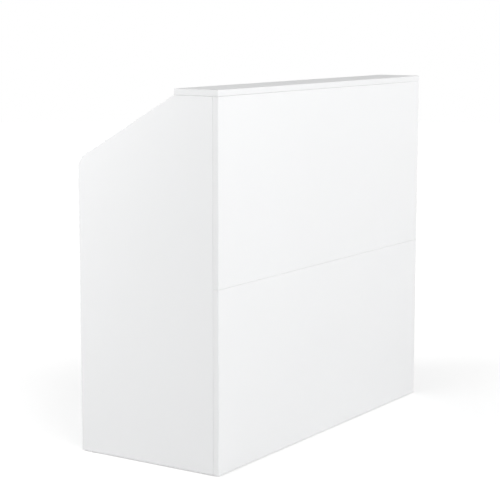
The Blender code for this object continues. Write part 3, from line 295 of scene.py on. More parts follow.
def sink_cross(bm, height, reach, width, depth):
    """Sinks a driver's cross into a round shape that is open at that height."""
    floor_share = 0.72
    top = Matrix.Translation((0, 0, height))
    verts = bmesh.ops.create_grid(bm, x_segments=3, y_segments=3, size=reach, matrix=top)["verts"]
    for axis in (0, 1):
        scale = [1.0, 1.0, 1.0]
        scale[axis] = 1.5 * width / reach
        bmesh.ops.scale(bm, vec=scale, verts=[v for v in verts if abs(v.co[axis]) < reach / 2])
    cells = {face for v in verts for face in v.link_faces}
    middles = {face: face.calc_center_median() for face in cells}
    corners = [face for face, m in middles.items() if min(abs(m.x), abs(m.y)) > width / 2]
    bmesh.ops.delete(bm, geom=corners, context="FACES")
    cross = [face for face in cells if face.is_valid]
    made = bmesh.ops.extrude_face_region(bm, geom=cross)
    sunk = added(made, BMVert)
    bmesh.ops.translate(bm, vec=(0, 0, -depth), verts=sunk)
    bmesh.ops.scale(bm, vec=(floor_share, floor_share, 1.0), verts=sunk)
    bmesh.ops.delete(bm, geom=cross, context="FACES")
    fill_between(bm, height)


def thread(first, last, pitch, near, far, run):
    """A thread's profile: at each pitch one radius, and a run farther on another."""
    steps = []
    height = first
    while (last - height) * pitch > 0:
        steps += [(near, height), (far, height + run)]
        height += pitch
    return steps


def hexagon_nut(bore, corner, thick, edge):
    """A nut that stands on Z = 0, with its outer edges rounded."""
    nut = turned([(bore, 0), (corner, 0), (corner, thick), (bore, thick), (bore, 0)], 6)
    return ease(nut, edge, 2, outside((bore + corner) / 2))


def stand(start, up, along):
    """The matrix that puts an origin at a point, Z on one axis and X on another."""
    start, up, along = Vector(start), Vector(up), Vector(along)
    turn = Matrix((along, up.cross(along), up)).transposed().to_4x4()
    return Matrix.Translation(start) @ turn


def gather(whole, part, place):
    """Adds a placed copy of a shape to another."""
    passing = bpy.data.meshes.new("passing")
    part.to_mesh(passing)
    passing.transform(place)
    whole.from_mesh(passing)
    bpy.data.meshes.remove(passing)


def add_piece(name, bm, body, finish, replaced=()):
    """Makes a shape an object at the origin that rides on a body and may replace CAD nodes."""
    bmesh.ops.remove_doubles(bm, verts=bm.verts, dist=TINY)
    bmesh.ops.recalc_face_normals(bm, faces=bm.faces)
    mesh = bpy.data.meshes.new(name)
    bm.to_mesh(mesh)
    bm.free()
    mesh.shade_smooth()
    mesh.set_sharp_from_angle(angle=SMOOTH_ANGLE)
    slot, material = finish_of(finish)
    mesh.materials.append(material)
    piece = bpy.data.objects.new(name, mesh)
    bpy.context.scene.collection.objects.link(piece)
    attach(piece, body)
    if replaced:
        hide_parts(*replaced)


def box_of(node):
    """A CAD node's lowest and highest corner, and its middle."""
    low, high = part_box(node)
    return low, high, (low + high) / 2


def flat_faces(node):
    """A board's lowest and highest corner without its bolts and dowels, from its largest flat faces."""
    areas = {}
    for face in frame["nodes"][node].data.polygons:
        axis = max(range(3), key=lambda k: abs(face.normal[k]))
        if abs(face.normal[axis]) > 0.999:
            found = areas.setdefault((axis, face.normal[axis] > 0), {})
            place = round(face.center[axis], 4)
            found[place] = found.get(place, 0.0) + face.area
    corners = []
    for outward in (False, True):
        sides = [areas[axis, outward] for axis in range(3)]
        corners.append(Vector([max(side, key=side.get) for side in sides]))
    return corners


# Screws, cams and other small repeated shapes. Each stands on Z = 0 and faces +Z.


def pan_head():
    """A domed screw head with a driver's cross, and a short shank under it."""
    hardware = bpy.context.scene.counter_hardware
    radius, rise = hardware.screw_radius, hardware.screw_rise
    dome_shares = ((0.68, 1), (0.80, 0.93), (0.92, 0.72), (1, 0.36), (1, 0))
    shank_shares = ((0.45, 0), (0.45, -1.4), (0, -1.4))
    bm = turned([(a * radius, b * rise) for a, b in dome_shares + shank_shares], HEAD_SIDES)
    sink_cross(bm, rise, 0.58 * radius, 0.24 * radius, 0.75 * rise)
    return bm


def rivet_head():
    """A plain domed head."""
    radius = 0.0036
    dome = ((0, 0.0013), (0.55 * radius, 0.0011), (0.88 * radius, 0.0006), (radius, 0), (0, 0))
    return turned(dome, HEAD_SIDES)


def place_heads(whole, head, seats, up):
    """Puts a head on each seat, each turned farther than the last."""
    first_turn, next_turn = math.radians(23), math.radians(41)
    along = Z if abs(up.z) < 0.5 else Y
    for number, seat in enumerate(seats):
        twist = Matrix.Rotation(first_turn + next_turn * number, 4, "Z")
        gather(whole, head, stand(seat, up, along) @ twist)
    return whole


def countersink(plate, side, seats):
    """Sets countersunk heads in a plate's flat side, each with a fine groove round it."""
    radius, crown, groove, cross_depth = 0.0031, 0.00006, 0.00025, 0.0008
    steps = [(0.75 * radius, crown), (0.96 * radius, crown), (radius, -groove), (1.05 * radius, 0)]
    head = turned(steps, HEAD_SIDES)
    sink_cross(head, crown, 0.62 * radius, 0.26 * radius, cross_depth)
    plate.normal_update()
    for seat in map(Vector, seats):
        under = []
        for face in plate.faces:
            level = abs((face.calc_center_median() - seat).dot(side)) < TINY
            flat = abs(face.normal.dot(side)) > 0.99
            if level and flat and bmesh.geometry.intersect_face_point(face, seat):
                under.append(face)
        bmesh.ops.delete(plate, geom=under, context="FACES_ONLY")
        place_heads(plate, head, [seat], side)
        fill_between(plate)


def cam():
    """A quarter-turn cam: rim, groove with an arrow towards the bolt on +X, and a boss with a cross."""
    hardware = bpy.context.scene.counter_hardware
    rim, rise = hardware.cam_radius, hardware.cam_rise
    boss, boss_rise, groove_start, groove_end, groove_floor = 0.0043, 0.00025, 0.0054, 0.0067, -0.0002
    barrel, seat, depth, edge, boss_margin = 0.0070, 0.00004, 0.0034, 0.0001, 0.0008
    cross_reach, cross_width, cross_depth = 0.0034, 0.0013, 0.0024
    arrow_foot, arrow_top, arrow_height = 0.00075, 0.0006, 0.0007
    profile = [(boss, boss_rise), (boss + boss_margin, boss_rise)]
    profile += [(groove_start, groove_floor), (groove_end, groove_floor)]
    profile += [(barrel, rise - edge), (barrel + 3 * edge, rise), (rim - 4 * edge, rise)]
    profile += [(rim - edge, rise - 1.5 * edge), (rim, seat), (barrel, seat), (barrel, -depth), (0, -depth)]
    bm = turned(profile, 36)
    sink_cross(bm, boss_rise, cross_reach, cross_width, cross_depth)
    arrow = Matrix.Translation(((groove_start + groove_end) / 2, 0, 0)) @ Matrix.Rotation(-QUARTER, 4, "Z")
    bmesh.ops.create_cone(
        bm,
        cap_ends=True,
        segments=3,
        radius1=arrow_foot,
        radius2=arrow_top,
        depth=arrow_height,
        matrix=arrow,
    )
    return bm


# Materials


class Socket:
    """An output in a node tree. Python's operators on it add Math nodes."""

    def __init__(self, tree, output=None):
        self.tree = tree
        self.output = output

    def node(self, kind, settings=None, inputs=None, output=0):
        """Adds a node: its settings first, then a value or a link for each of its sockets."""
        made = self.tree.nodes.new(kind)
        for name, value in (settings or {}).items():
            setattr(made, name, value)
        for key, value in (inputs or {}).items():
            if isinstance(value, Socket):
                self.tree.links.new(value.output, made.inputs[key])
            else:
                made.inputs[key].default_value = value
        return Socket(self.tree, made.outputs[output] if made.outputs else None)

    def beside(self, output):
        """Another output of the same node."""
        return Socket(self.tree, self.output.node.outputs[output])

    def feed(self, target):
        self.tree.links.new(self.output, target)

    def maths(self, operation, other=0.0, swapped=False):
        values = (other, self) if swapped else (self, other)
        return self.node("ShaderNodeMath", {"operation": operation}, dict(enumerate(values)))

    def __add__(self, other):
        return self.maths("ADD", other)

    def __sub__(self, other):
        return self.maths("SUBTRACT", other)

    def __rsub__(self, other):
        return self.maths("SUBTRACT", other, swapped=True)

    def __mul__(self, other):
        return self.maths("MULTIPLY", other)

    def __gt__(self, other):
        return self.maths("GREATER_THAN", other)

    def __lt__(self, other):
        return self.maths("LESS_THAN", other)

    __radd__ = __add__
    __rmul__ = __mul__

    def least(self, other):
        """The smaller of this and another."""
        return self.maths("MINIMUM", other)

    def noise(self, scale, detail=2.0):
        """Noise from 0 to 1 at this place, in features per metre."""
        return self.node("ShaderNodeTexNoise", {}, {"Vector": self, "Scale": scale, "Detail": detail})

    def scaled(self, scale):
        """This place stretched along the axes."""
        return self.node("ShaderNodeMapping", {}, {"Vector": self, "Scale": scale})

    def blend(self, low, high):
        """A colour between two, where this is from 0 to 1."""
        inputs = {0: self}
        for key, colour in ((6, low), (7, high)):
            inputs[key] = colour if isinstance(colour, Socket) else (*colour, 1.0)
        settings = {"data_type": "RGBA", "clamp_factor": True}
        return self.node("ShaderNodeMix", settings, inputs, output=2)

    def bump(self, height):
        """A surface normal from this, as a relief of that height in metres."""
        return self.node("ShaderNodeBump", {}, {"Height": self, "Strength": 1.0, "Distance": height})


def shade(colour, share):
    """A colour made darker or lighter."""
    return tuple(min(1.0, channel * share) for channel in colour)


def coat(shader, colour, rough, normal, metallic=0.0):
    """Feeds a shader what changes over its surface, and sets how metallic it is."""
    colour.feed(shader["Base Color"])
    rough.feed(shader["Roughness"])
    normal.feed(shader["Normal"])
    shader["Metallic"].default_value = metallic


def start_finish(name):
    """A new material, its shader's sockets and a point's place on the counter."""
    made = bpy.data.materials.new(name)
    made.use_nodes = True
    shader = made.node_tree.nodes["Principled BSDF"].inputs
    place = Socket(made.node_tree).node("ShaderNodeTexCoord", output="Object")
    return made, shader, place


def laminate_finish(board):
    """White melamine on a board: fine texture, edge tape with its line, raw core in its holes, and chamfers
    with a painted highlight that lightens the seams' shade.
    """
    settings = bpy.context.scene.counter_finishes
    white, rough = settings.laminate, settings.laminate_roughness
    skin, arris, tape_start, core_start = 0.00003, 0.00079, 0.00078, 0.0003
    tape_reach, half_line, relief, core_relief = 0.009, 0.00009, 0.00003, 12.0
    cloud_scale, chip_scale, smear_scale, pearl_scale = 2.6, 700.0, 9.0, 1900.0
    smear, raw_core, smooth_tape = 0.08, 0.45, 0.07
    made, shader, place = start_finish(f"laminate_of_{board}")
    low, high = flat_faces(board)
    size = high - low
    thin = min(range(3), key=lambda k: size[k])
    first = place.node("ShaderNodeSeparateXYZ", {}, {0: place})
    axes = [first, first.beside(1), first.beside(2)]
    inside = [(axes[k] - low[k]).least(high[k] - axes[k]) for k in range(3)]
    depth = inside[thin]
    from_edge = inside[(thin + 1) % 3].least(inside[(thin + 2) % 3])
    if board in SLOPING_BOARDS:
        from_edge = from_edge.least(below_slope(axes, high))
    near_edge = from_edge < tape_reach
    painted_light_on_arris = (depth > skin) * (depth < arris) * near_edge
    on_tape = (depth > tape_start) * near_edge
    in_core = (depth > core_start) * (from_edge > tape_reach)
    on_line = ((from_edge - settings.tape_thickness).maths("ABSOLUTE") < half_line) * (depth < skin)
    colour = place.noise(cloud_scale, 3.0).blend(shade(white, 0.992), shade(white, 1.006))
    colour = (on_line * 0.5).blend(colour, shade(white, 0.90))
    colour = on_tape.blend(colour, shade(white, 0.985))
    # Painted highlight: the chamfers are coloured a shade lighter than the face, to lighten the shade in the
    # seams between boards
    colour = painted_light_on_arris.blend(colour, shade(white, 1.01))
    chips = {"Vector": place, "Scale": chip_scale, "Randomness": 1.0}
    speckle = place.node("ShaderNodeTexVoronoi", {}, chips, output="Distance")
    chip_colour = speckle.blend(shade(settings.chipboard, 0.72), shade(settings.chipboard, 1.25))
    smears = place.noise(smear_scale, 4.0) * smear + (rough - smear / 2)
    grain = place.noise(pearl_scale) + in_core * speckle * core_relief
    rough = smears + in_core * raw_core - on_tape * smooth_tape
    coat(shader, in_core.blend(colour, chip_colour), rough, grain.bump(relief))
    return made


def below_slope(axes, corner):
    """How far under a side panel's slope a point lies. The slope runs down from the ledge's rear edge."""
    rear_height = 0.885
    ledge = flat_faces("counter_top")[1].y
    along_y, along_z = corner.y - ledge, rear_height - corner.z
    length = math.hypot(along_y, along_z)
    out_y, out_z = -along_z / length, along_y / length
    reach = ledge * out_y + corner.z * out_z
    return reach - (axes[1] * out_y + axes[2] * out_z)


def hardboard_finish(name):
    """Lacquered hardboard with a trace of its fibres."""
    white = bpy.context.scene.counter_finishes.hardboard
    made, shader, place = start_finish(name)
    fibres = place.scaled((1.0, 0.25, 1.0)).noise(1600.0, 3.0)
    colour = fibres.blend(shade(white, 0.95), shade(white, 1.02))
    coat(shader, colour, place.noise(30.0) * 0.1 + 0.48, fibres.bump(0.00003))
    return made


def zinc_finish(name):
    """Bright zinc plate: bluish clouds, drawn marks along the counter's depth and dull spots."""
    metal = bpy.context.scene.counter_finishes.zinc
    made, shader, place = start_finish(name)
    cloud = place.noise(60.0, 3.0)
    bluish = (metal[0] * 0.93, metal[1] * 0.97, metal[2] * 1.04)
    colour = cloud.blend(bluish, shade(metal, 1.05))
    drawn = place.scaled((1.0, 0.03, 1.0)).noise(1500.0)
    coat(shader, colour, cloud * 0.12 + drawn * 0.14 + 0.20, drawn.bump(0.000006), metallic=1.0)
    return made


def nickel_finish(name, grain):
    """Satin nickel, brushed along an axis of the counter."""
    metal = bpy.context.scene.counter_finishes.nickel
    made, shader, place = start_finish(name)
    stretch = [1.0, 1.0, 1.0]
    stretch[grain] = 0.02
    brushed = place.scaled(stretch).noise(2200.0, 3.0)
    colour = brushed.blend(shade(metal, 0.92), shade(metal, 1.08))
    rough = brushed * 0.16 + place.noise(35.0) * 0.06 + 0.20
    coat(shader, colour, rough, brushed.bump(0.000008), metallic=1.0)
    return made


def plastic_finish(name):
    """Moulded plastic with a fine spark-eroded texture."""
    white = bpy.context.scene.counter_finishes.plastic
    made, shader, place = start_finish(name)
    texture = place.noise(1700.0, 3.0)
    colour = place.noise(25.0).blend(shade(white, 0.975), shade(white, 1.01))
    coat(shader, colour, texture * 0.12 + 0.40, texture.bump(0.000015))
    return made


def magnet_finish(name):
    """Dark sintered magnet."""
    made, shader, place = start_finish(name)
    grain = place.noise(900.0, 4.0)
    colour = grain.blend((0.035, 0.033, 0.032), (0.075, 0.072, 0.070))
    coat(shader, colour, grain * 0.2 + 0.5, grain.bump(0.00002))
    return made


# Finish, the record's slot that it belongs to, what makes it, and the axis that it is brushed along
FINISHES = {
    "zinc": ("zinc_steel", zinc_finish),
    "plastic": ("white_plastic", plastic_finish),
    "magnet": ("zinc_steel", magnet_finish),
    "nickel_across": ("satin_nickel", nickel_finish, 0),
    "nickel_deep": ("satin_nickel", nickel_finish, 1),
    "nickel_upright": ("satin_nickel", nickel_finish, 2),
}


def finish_of(name):
    """A finish's slot and its material, which is made when it is first asked for."""
    slot, maker, *grain = FINISHES[name]
    label = f"shared_{name}"
    return slot, bpy.data.materials.get(label) or maker(label, *grain)


# Operators


class COUNTER_OT_boards(Operator):
    """Gives every board its laminate and the drawer's bottom its hardboard"""

    bl_idname = "counter.finish_boards"
    bl_label = "Finish Boards"

    def execute(self, context):
        finishes = {board: laminate_finish(board) for board in BOARDS}
        finishes["drawer_bottom"] = hardboard_finish("hardboard_of_drawer")
        for node, finish in finishes.items():
            materials = frame["nodes"][node].data.materials
            materials.clear()
            materials.append(finish)
        return {"FINISHED"}


def cam_places():
    """Board, its body, the way its cams face, the way to their bolts, and the cams' places."""
    reach, margin, half_pitch, drawer_height = 0.024, 0.045, 0.016, 0.070
    side = flat_faces("right_side_panel")[0].x
    front_low, front_high = flat_faces("lower_front_panel")
    front, foot = front_high.y, front_low.z
    seam = (front_high.z + flat_faces("upper_front_panel")[0].z) / 2
    ledge_low, ledge_high = flat_faces("counter_top")
    desk_low, desk_high = flat_faces("work_surface")
    divider_low, divider_high = flat_faces("pedestal_divider")
    ledge_middle = (ledge_high.y + front) / 2
    deep = front + reach
    heights = (foot + margin, seam - margin, desk_low.z - margin, ledge_low.z - 2 * margin)
    for sign, name in ((-1, "left_side_panel"), (1, "right_side_panel")):
        x = sign * side
        inward = -sign * X
        yield name, "carcass", inward, -Y, [(x, deep, z) for z in heights]
        yield name, "carcass", inward, Z, [(x, ledge_middle - half_pitch, ledge_low.z - reach)]
        desk = [(x - sign * reach, y, desk_low.z) for y in (front + 2 * margin, desk_high.y - margin)]
        yield "work_surface", "carcass", -Z, sign * X, desk
    face = divider_high.x
    cam_y = divider_high.y - 2 * margin
    along = [(face, deep, z) for z in (seam / 2, desk_low.z - margin)]
    yield "pedestal_divider", "carcass", X, -Y, along
    yield "pedestal_divider", "carcass", X, Z, [(face, cam_y, desk_low.z - reach)]
    yield "hutch_divider", "carcass", -X, Z, [(divider_low.x, ledge_middle, ledge_low.z - reach)]
    hutch_y = ledge_middle - half_pitch
    for shelf, y in (("pedestal_bottom", cam_y), ("drawer_shelf", cam_y), ("hutch_shelf", hutch_y)):
        under = flat_faces(shelf)[0].z
        yield shelf, "carcass", -Z, -X, [(face + reach, y, under)]
        yield shelf, "carcass", -Z, X, [(side - reach, y, under)]
    front_back = flat_faces("drawer_front")[0].y
    for name, inward, corner in (("drawer_left_side", X, 1), ("drawer_right_side", -X, 0)):
        inner = flat_faces(name)[corner].x
        height = flat_faces(name)[0].z + drawer_height
        yield name, "drawer", inward, Y, [(inner, front_back - reach, height)]


class COUNTER_OT_cams(Operator):
    """Adds the cams that draw the boards together, one in each open pocket"""

    bl_idname = "counter.add_cams"
    bl_label = "Add Cams"

    def execute(self, context):
        shape = cam()
        groups = {}
        for board, body, outward, to_bolt, places in cam_places():
            whole = groups.setdefault((board, body), bmesh.new())
            for place in places:
                gather(whole, shape, stand(place, outward, to_bolt))
        for (board, body), whole in groups.items():
            add_piece(f"cams_of_{board}", whole, body, "zinc")
        return {"FINISHED"}


class COUNTER_OT_handles(Operator):
    """Adds the bridge handles of the drawer and the door"""

    bl_idname = "counter.add_handles"
    bl_label = "Add Handles"

    def execute(self, context):
        edge = context.scene.counter_hardware.handle_edge
        self.add_handle("drawer_handle", "drawer_front", "drawer", 0, edge, "nickel_across")
        self.add_handle("door_handle", "cabinet_door", "door", 2, edge, "nickel_upright")
        return {"FINISHED"}

    def add_handle(self, node, front, body, axis, edge, finish):
        """A bridge handle with rounded corners and edges, and its screws from inside the front."""
        post, bar, width = 0.009, 0.006, 0.010
        outer_bend, inner_bend = 0.008, 0.003
        along = (X, Y, Z)[axis]
        low, high, middle = box_of(node)
        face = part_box(front)[1].y + SEAT_GAP
        half = (high[axis] - low[axis]) / 2
        top = high.y - face
        across = along.cross(Y)
        corner = Vector((middle.x, face, middle.z)) - across * width / 2
        outline = ((half, 0), (half, top), (-half, top), (-half, 0), (post - half, 0))
        outline += ((post - half, top - bar), (half - post, top - bar), (half - post, 0))
        points = [corner + along * a + Y * b for a, b in outline]
        rounded = ((1, outer_bend), (2, outer_bend), (5, inner_bend), (6, inner_bend))
        bridge = swept(points, across * width, rounded)
        ease(bridge, edge, 3, lambda e: max(v.co.y for v in e.verts) > face + TINY)
        add_piece(f"{node}_bridge", bridge, body, finish, [node])
        inner_middle = Vector((middle.x, flat_faces(front)[0].y, middle.z))
        seats = [inner_middle + along * sign * (half - post / 2) for sign in (-1, 1)]
        add_piece(f"{node}_screws", place_heads(bmesh.new(), pan_head(), seats, -Y), body, "zinc")


def lock_line(height):
    """The matrix on the lock's axis, at a place along the counter's depth."""
    middle = box_of("lock_body")[2]
    return stand((middle.x, height, middle.z), Y, X)


class COUNTER_OT_lock(Operator):
    """Adds the drawer's lock: barrel, ring nut, plug with its keyway, tongue and nut, and the strike"""

    bl_idname = "counter.add_lock"
    bl_label = "Add Lock"

    def execute(self, context):
        self.add_barrel()
        self.add_plug()
        self.add_tongue()
        self.add_strike(context.scene.counter_hardware.sheet_bend)
        return {"FINISHED"}

    def add_barrel(self):
        bore, barrel, flange, lead = 0.0070, 0.0095, 0.0110, 0.0004
        pitch, thread_depth, thread_margin = 0.0008, 0.00035, 0.0005
        nut_corner, nut_thick, nut_edge, nut_play = 0.0128, 0.0030, 0.0005, 0.0001
        flange_edge = ((0, 0.0011), (0.0004, 0.0005), (0.0012, 0.0001), (0.0022, 0))
        end, face = (corner.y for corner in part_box("lock_body"))
        front_back, front_face = (corner.y for corner in flat_faces("drawer_front"))
        seat = front_face + SEAT_GAP
        root = barrel - thread_depth
        threads = thread(end + thread_margin, front_back - lead, pitch, root, barrel, pitch / 2)
        profile = [(bore, end), (barrel - lead, end), *threads, (barrel, front_back), (barrel, seat)]
        profile += [(flange, seat)] + [(flange - a, face - b) for a, b in flange_edge]
        profile += [(bore + lead, face), (bore, face - lead), (bore, end)]
        body = placed(turned(profile, LOCK_SIDES), lock_line(0))
        add_piece("lock_barrel", body, "drawer", "nickel_deep", ["lock_body"])
        nut = hexagon_nut(barrel + nut_play, nut_corner, nut_thick, nut_edge)
        nut_place = lock_line(front_back - SEAT_GAP - nut_thick)
        add_piece("lock_ring_nut", placed(nut, nut_place), "drawer", "nickel_deep")

    def add_plug(self):
        radius, recess, chamfer = 0.0067, 0.0055, 0.0004
        stud, pitch, thread_depth, stud_tip = 0.0030, 0.0006, 0.0003, 0.0005
        slot_width, slot_height, slot_depth = 0.0026, 0.0086, 0.0183
        low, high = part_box("lock_plug")
        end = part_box("lock_body")[0].y
        root = stud - thread_depth
        threads = thread(end - chamfer, low.y + stud_tip, -pitch, stud, root, -pitch / 2)
        profile = [(recess, high.y), (radius - chamfer, high.y), (radius, high.y - chamfer), (radius, end)]
        profile += [(stud, end), *threads, (stud - stud_tip, low.y), (0, low.y)]
        bm = turned(profile, LOCK_SIDES)
        slot = bmesh.ops.create_grid(bm, x_segments=1, y_segments=1, size=0.5)["verts"]
        bmesh.ops.scale(bm, vec=(slot_width, slot_height, 1.0), verts=slot)
        bmesh.ops.translate(bm, vec=(0, 0, high.y), verts=slot)
        mouth = list(slot[0].link_faces)
        push(bm, mouth, (0, 0, -slot_depth))
        bmesh.ops.delete(bm, geom=mouth, context="FACES")
        fill_between(bm)
        add_piece("lock_keyed_plug", placed(bm, lock_line(0)), "lock_core", "nickel_deep", ["lock_plug"])

    def add_tongue(self):
        tip, tip_bend, bore, edge, bore_margin = 0.0045, 0.0030, 0.0033, 0.0003, 0.0007
        nut_corner, nut_edge, bend_share = 0.0058, 0.0004, 0.96
        low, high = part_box("lock_tongue")
        line = box_of("lock_body")[2]
        reach, hub = line.x - low.x, (high.z - low.z) / 2
        hub_bend = hub * bend_share
        outline = ((-hub, hub), (hub, hub), (hub, -hub), (-hub, -hub), (-reach, -tip), (-reach, tip))
        points = [(a, b, 0) for a, b in outline]
        rounded = ((1, hub_bend), (2, hub_bend), (4, tip_bend), (5, tip_bend))
        tongue = swept(points, Z * (high.y - low.y), rounded, (32, bore, Matrix.Identity(4)))
        ease(tongue, edge, 2, outside(bore + bore_margin))
        place = Matrix.Translation((line.x, high.y, line.z)) @ Matrix.Rotation(QUARTER, 4, "X")
        add_piece("lock_turning_tongue", placed(tongue, place), "lock_core", "zinc", ["lock_tongue"])
        low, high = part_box("lock_nut")
        nut = placed(hexagon_nut(bore, nut_corner, high.y - low.y, nut_edge), lock_line(low.y))
        add_piece("lock_tongue_nut", nut, "lock_core", "zinc", ["lock_nut"])

    def add_strike(self, bend):
        steel, inner_bend, corner, screw_reach = 0.0015, 0.0005, 0.0030, 0.009
        low, high, middle = box_of("lock_strike")
        top = flat_faces("work_surface")[0].z - SEAT_GAP
        back, under = high.y - steel, top - steel
        outline = ((high.y, top), (high.y, low.z), (back, low.z), (back, under), (low.y, under), (low.y, top))
        points = [(low.x, y, z) for y, z in outline]
        strike = swept(points, X * (high.x - low.x), ((0, bend), (3, inner_bend)))
        ease(strike, corner, 4, lambda e: abs(e.calc_length() - steel) < BURR)
        seats = [(middle.x + sign * screw_reach, middle.y, under) for sign in (-1, 1)]
        place_heads(strike, pan_head(), seats, -Z)
        add_piece("lock_strike_angle", strike, "carcass", "zinc", ["lock_strike"])


class COUNTER_OT_key(Operator):
    """Adds the key, with its cuts, neck and bow"""

    bl_idname = "counter.add_key"
    bl_label = "Add Key"

    def execute(self, context):
        blade, neck, neck_length, bow = 0.0040, 0.0055, 0.0040, 0.0100
        bow_bend, neck_bend, edge = 0.0085, 0.0042, 0.00035
        tip_length, tip_half = 0.0022, 0.0012
        hole_radius, hole_margin = 0.0025, 0.0050
        low, high, middle = box_of("drawer_key")
        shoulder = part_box("lock_body")[1].y + SEAT_GAP
        bow_start = shoulder + neck_length
        # The blade's cuts: place from the shoulder and depth
        upper = ((0.0025, 0.0), (0.0035, 0.0012), (0.0048, 0.0012), (0.0058, 0.0003), (0.0068, 0.0018))
        upper += ((0.0080, 0.0018), (0.0090, 0.0006), (0.0104, 0.0014), (0.0118, 0.0014), (0.0130, 0.0002))
        lower = ((0.0030, 0.0), (0.0042, 0.0016), (0.0054, 0.0016), (0.0066, 0.0004), (0.0082, 0.0010))
        lower += ((0.0094, 0.0010), (0.0106, 0.0019), (0.0118, 0.0019), (0.0132, 0.0003))
        nose = blade - tip_half / 2
        tip = ((tip_length, nose), (0, tip_half), (0, -tip_half), (tip_length, -nose))
        outline = [(shoulder, neck), (shoulder, blade)]
        outline += [(shoulder - a, blade - cut) for a, cut in upper]
        outline += [(low.y + a, b) for a, b in tip]
        outline += [(shoulder - a, cut - blade) for a, cut in reversed(lower)]
        outline += [(shoulder, -blade), (shoulder, -neck), (bow_start, -neck)]
        first = len(outline)
        outline += [(bow_start, -bow), (high.y, -bow), (high.y, bow), (bow_start, bow), (bow_start, neck)]
        points = [(low.x, y, middle.z + z) for y, z in outline]
        rounded = ((first + 1, bow_bend), (first + 2, bow_bend), (first, neck_bend), (first + 3, neck_bend))
        hole_middle = Matrix.Translation((low.x, high.y - hole_margin, middle.z))
        hole = (28, hole_radius, hole_middle @ Matrix.Rotation(QUARTER, 4, "Y"))
        key = swept(points, X * (high.x - low.x), rounded, hole)
        ease(key, edge, 2, lambda e: min(v.co.y for v in e.verts) > shoulder)
        add_piece("drawer_cut_key", key, "key", "nickel_deep", ["drawer_key"])
        return {"FINISHED"}


class COUNTER_OT_hinges(Operator):
    """Adds the door's two knuckle hinges, each with two leaves, screws and a headed pin"""

    bl_idname = "counter.add_hinges"
    bl_label = "Add Hinges"

    steel = 0.0013
    knuckle = 0.0035

    def execute(self, context):
        for prefix in ("upper", "lower"):
            self.add_leaves(prefix)
            self.add_pin(prefix)
        return {"FINISHED"}

    def add_leaves(self, prefix):
        screw_reach, knuckle_reach = 0.017, 0.004
        line = box_of(f"{prefix}_hinge_pin")[2]
        cabinet_name, door_name = f"{prefix}_hinge_cabinet_leaf", f"{prefix}_hinge_door_leaf"
        cabinet_low, cabinet_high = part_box(cabinet_name)
        door_low, door_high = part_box(door_name)
        door_back, door_face = flat_faces("cabinet_door")
        screw_y = (door_back.y + door_face.y) / 2
        outer, half = cabinet_high.z - line.z, door_high.z - line.z
        window = half + SEAT_GAP
        depth = line.y - door_low.y
        rows = (-outer, -window, window, outer)
        cabinet = self.leaf(line, rows, line.y - cabinet_low.y, depth + SEAT_GAP, (0, 2))
        inner_x = line.x + self.knuckle - self.steel
        countersink(cabinet, -X, [(inner_x, screw_y, line.z + sign * screw_reach) for sign in (-1, 1)])
        add_piece(f"{cabinet_name}_curled", cabinet, "carcass", "nickel_upright", [cabinet_name])
        door = self.leaf(line, (-half, half), depth, knuckle_reach, (0,))
        countersink(door, X, [(line.x + self.knuckle, screw_y, line.z)])
        add_piece(f"{door_name}_curled", door, "door", "nickel_upright", [door_name])

    def add_pin(self, prefix):
        head, shank, thick = 0.0030, 0.0019, 0.0012
        crown, burr = 0.0006, 0.0003
        node = f"{prefix}_hinge_pin"
        high, line = box_of(node)[1:]
        end = high.z - line.z
        profile = [(0, -end), (head, -end), (head, thick - end), (shank, thick - end)]
        profile += [(shank, end - thick), (head, end - thick), (head, end), (0, end)]
        pin = turned(profile, 32, ((1, crown), (2, burr), (5, burr), (6, crown)))
        placed(pin, Matrix.Translation(line))
        add_piece(f"{node}_headed", pin, "carcass", "nickel_upright", [node])

    def leaf(self, line, rows, depth, strip, arms):
        """A plate whose chosen rows run on to the pin and curl round it."""
        curl, corner = math.radians(300), 0.0025
        bm = bmesh.new()
        columns = []
        for x in (self.knuckle - self.steel, self.knuckle):
            columns.append([bm.verts.new((x, -depth, z)) for z in rows])
        cells = []
        for k in range(len(rows) - 1):
            cells.append(bm.faces.new((columns[0][k], columns[1][k], columns[1][k + 1], columns[0][k + 1])))
        ends = push(bm, cells, (0, depth - strip, 0))
        ends.sort(key=lambda face: face.calc_center_median().z)
        for arm in arms:
            reach = push(bm, [ends[arm]], (0, strip, 0))
            bmesh.ops.spin(bm, geom=reach, cent=(0, 0, 0), axis=Z, angle=curl, steps=30, use_merge=False)
            spent = [face for face in (*reach, ends[arm]) if face.is_valid]
            bmesh.ops.delete(bm, geom=spent, context="FACES_ONLY")
        bmesh.ops.remove_doubles(bm, verts=bm.verts, dist=TINY)

        def at_corner(edge):
            first, last = (v.co for v in edge.verts)
            at_end = abs(first.y + depth) < TINY and abs(last.y + depth) < TINY
            return at_end and abs(first.x - last.x) > self.steel / 2 and abs(abs(first.z) - rows[-1]) < TINY

        ease(bm, corner, 5, at_corner)
        return placed(bm, Matrix.Translation(line))


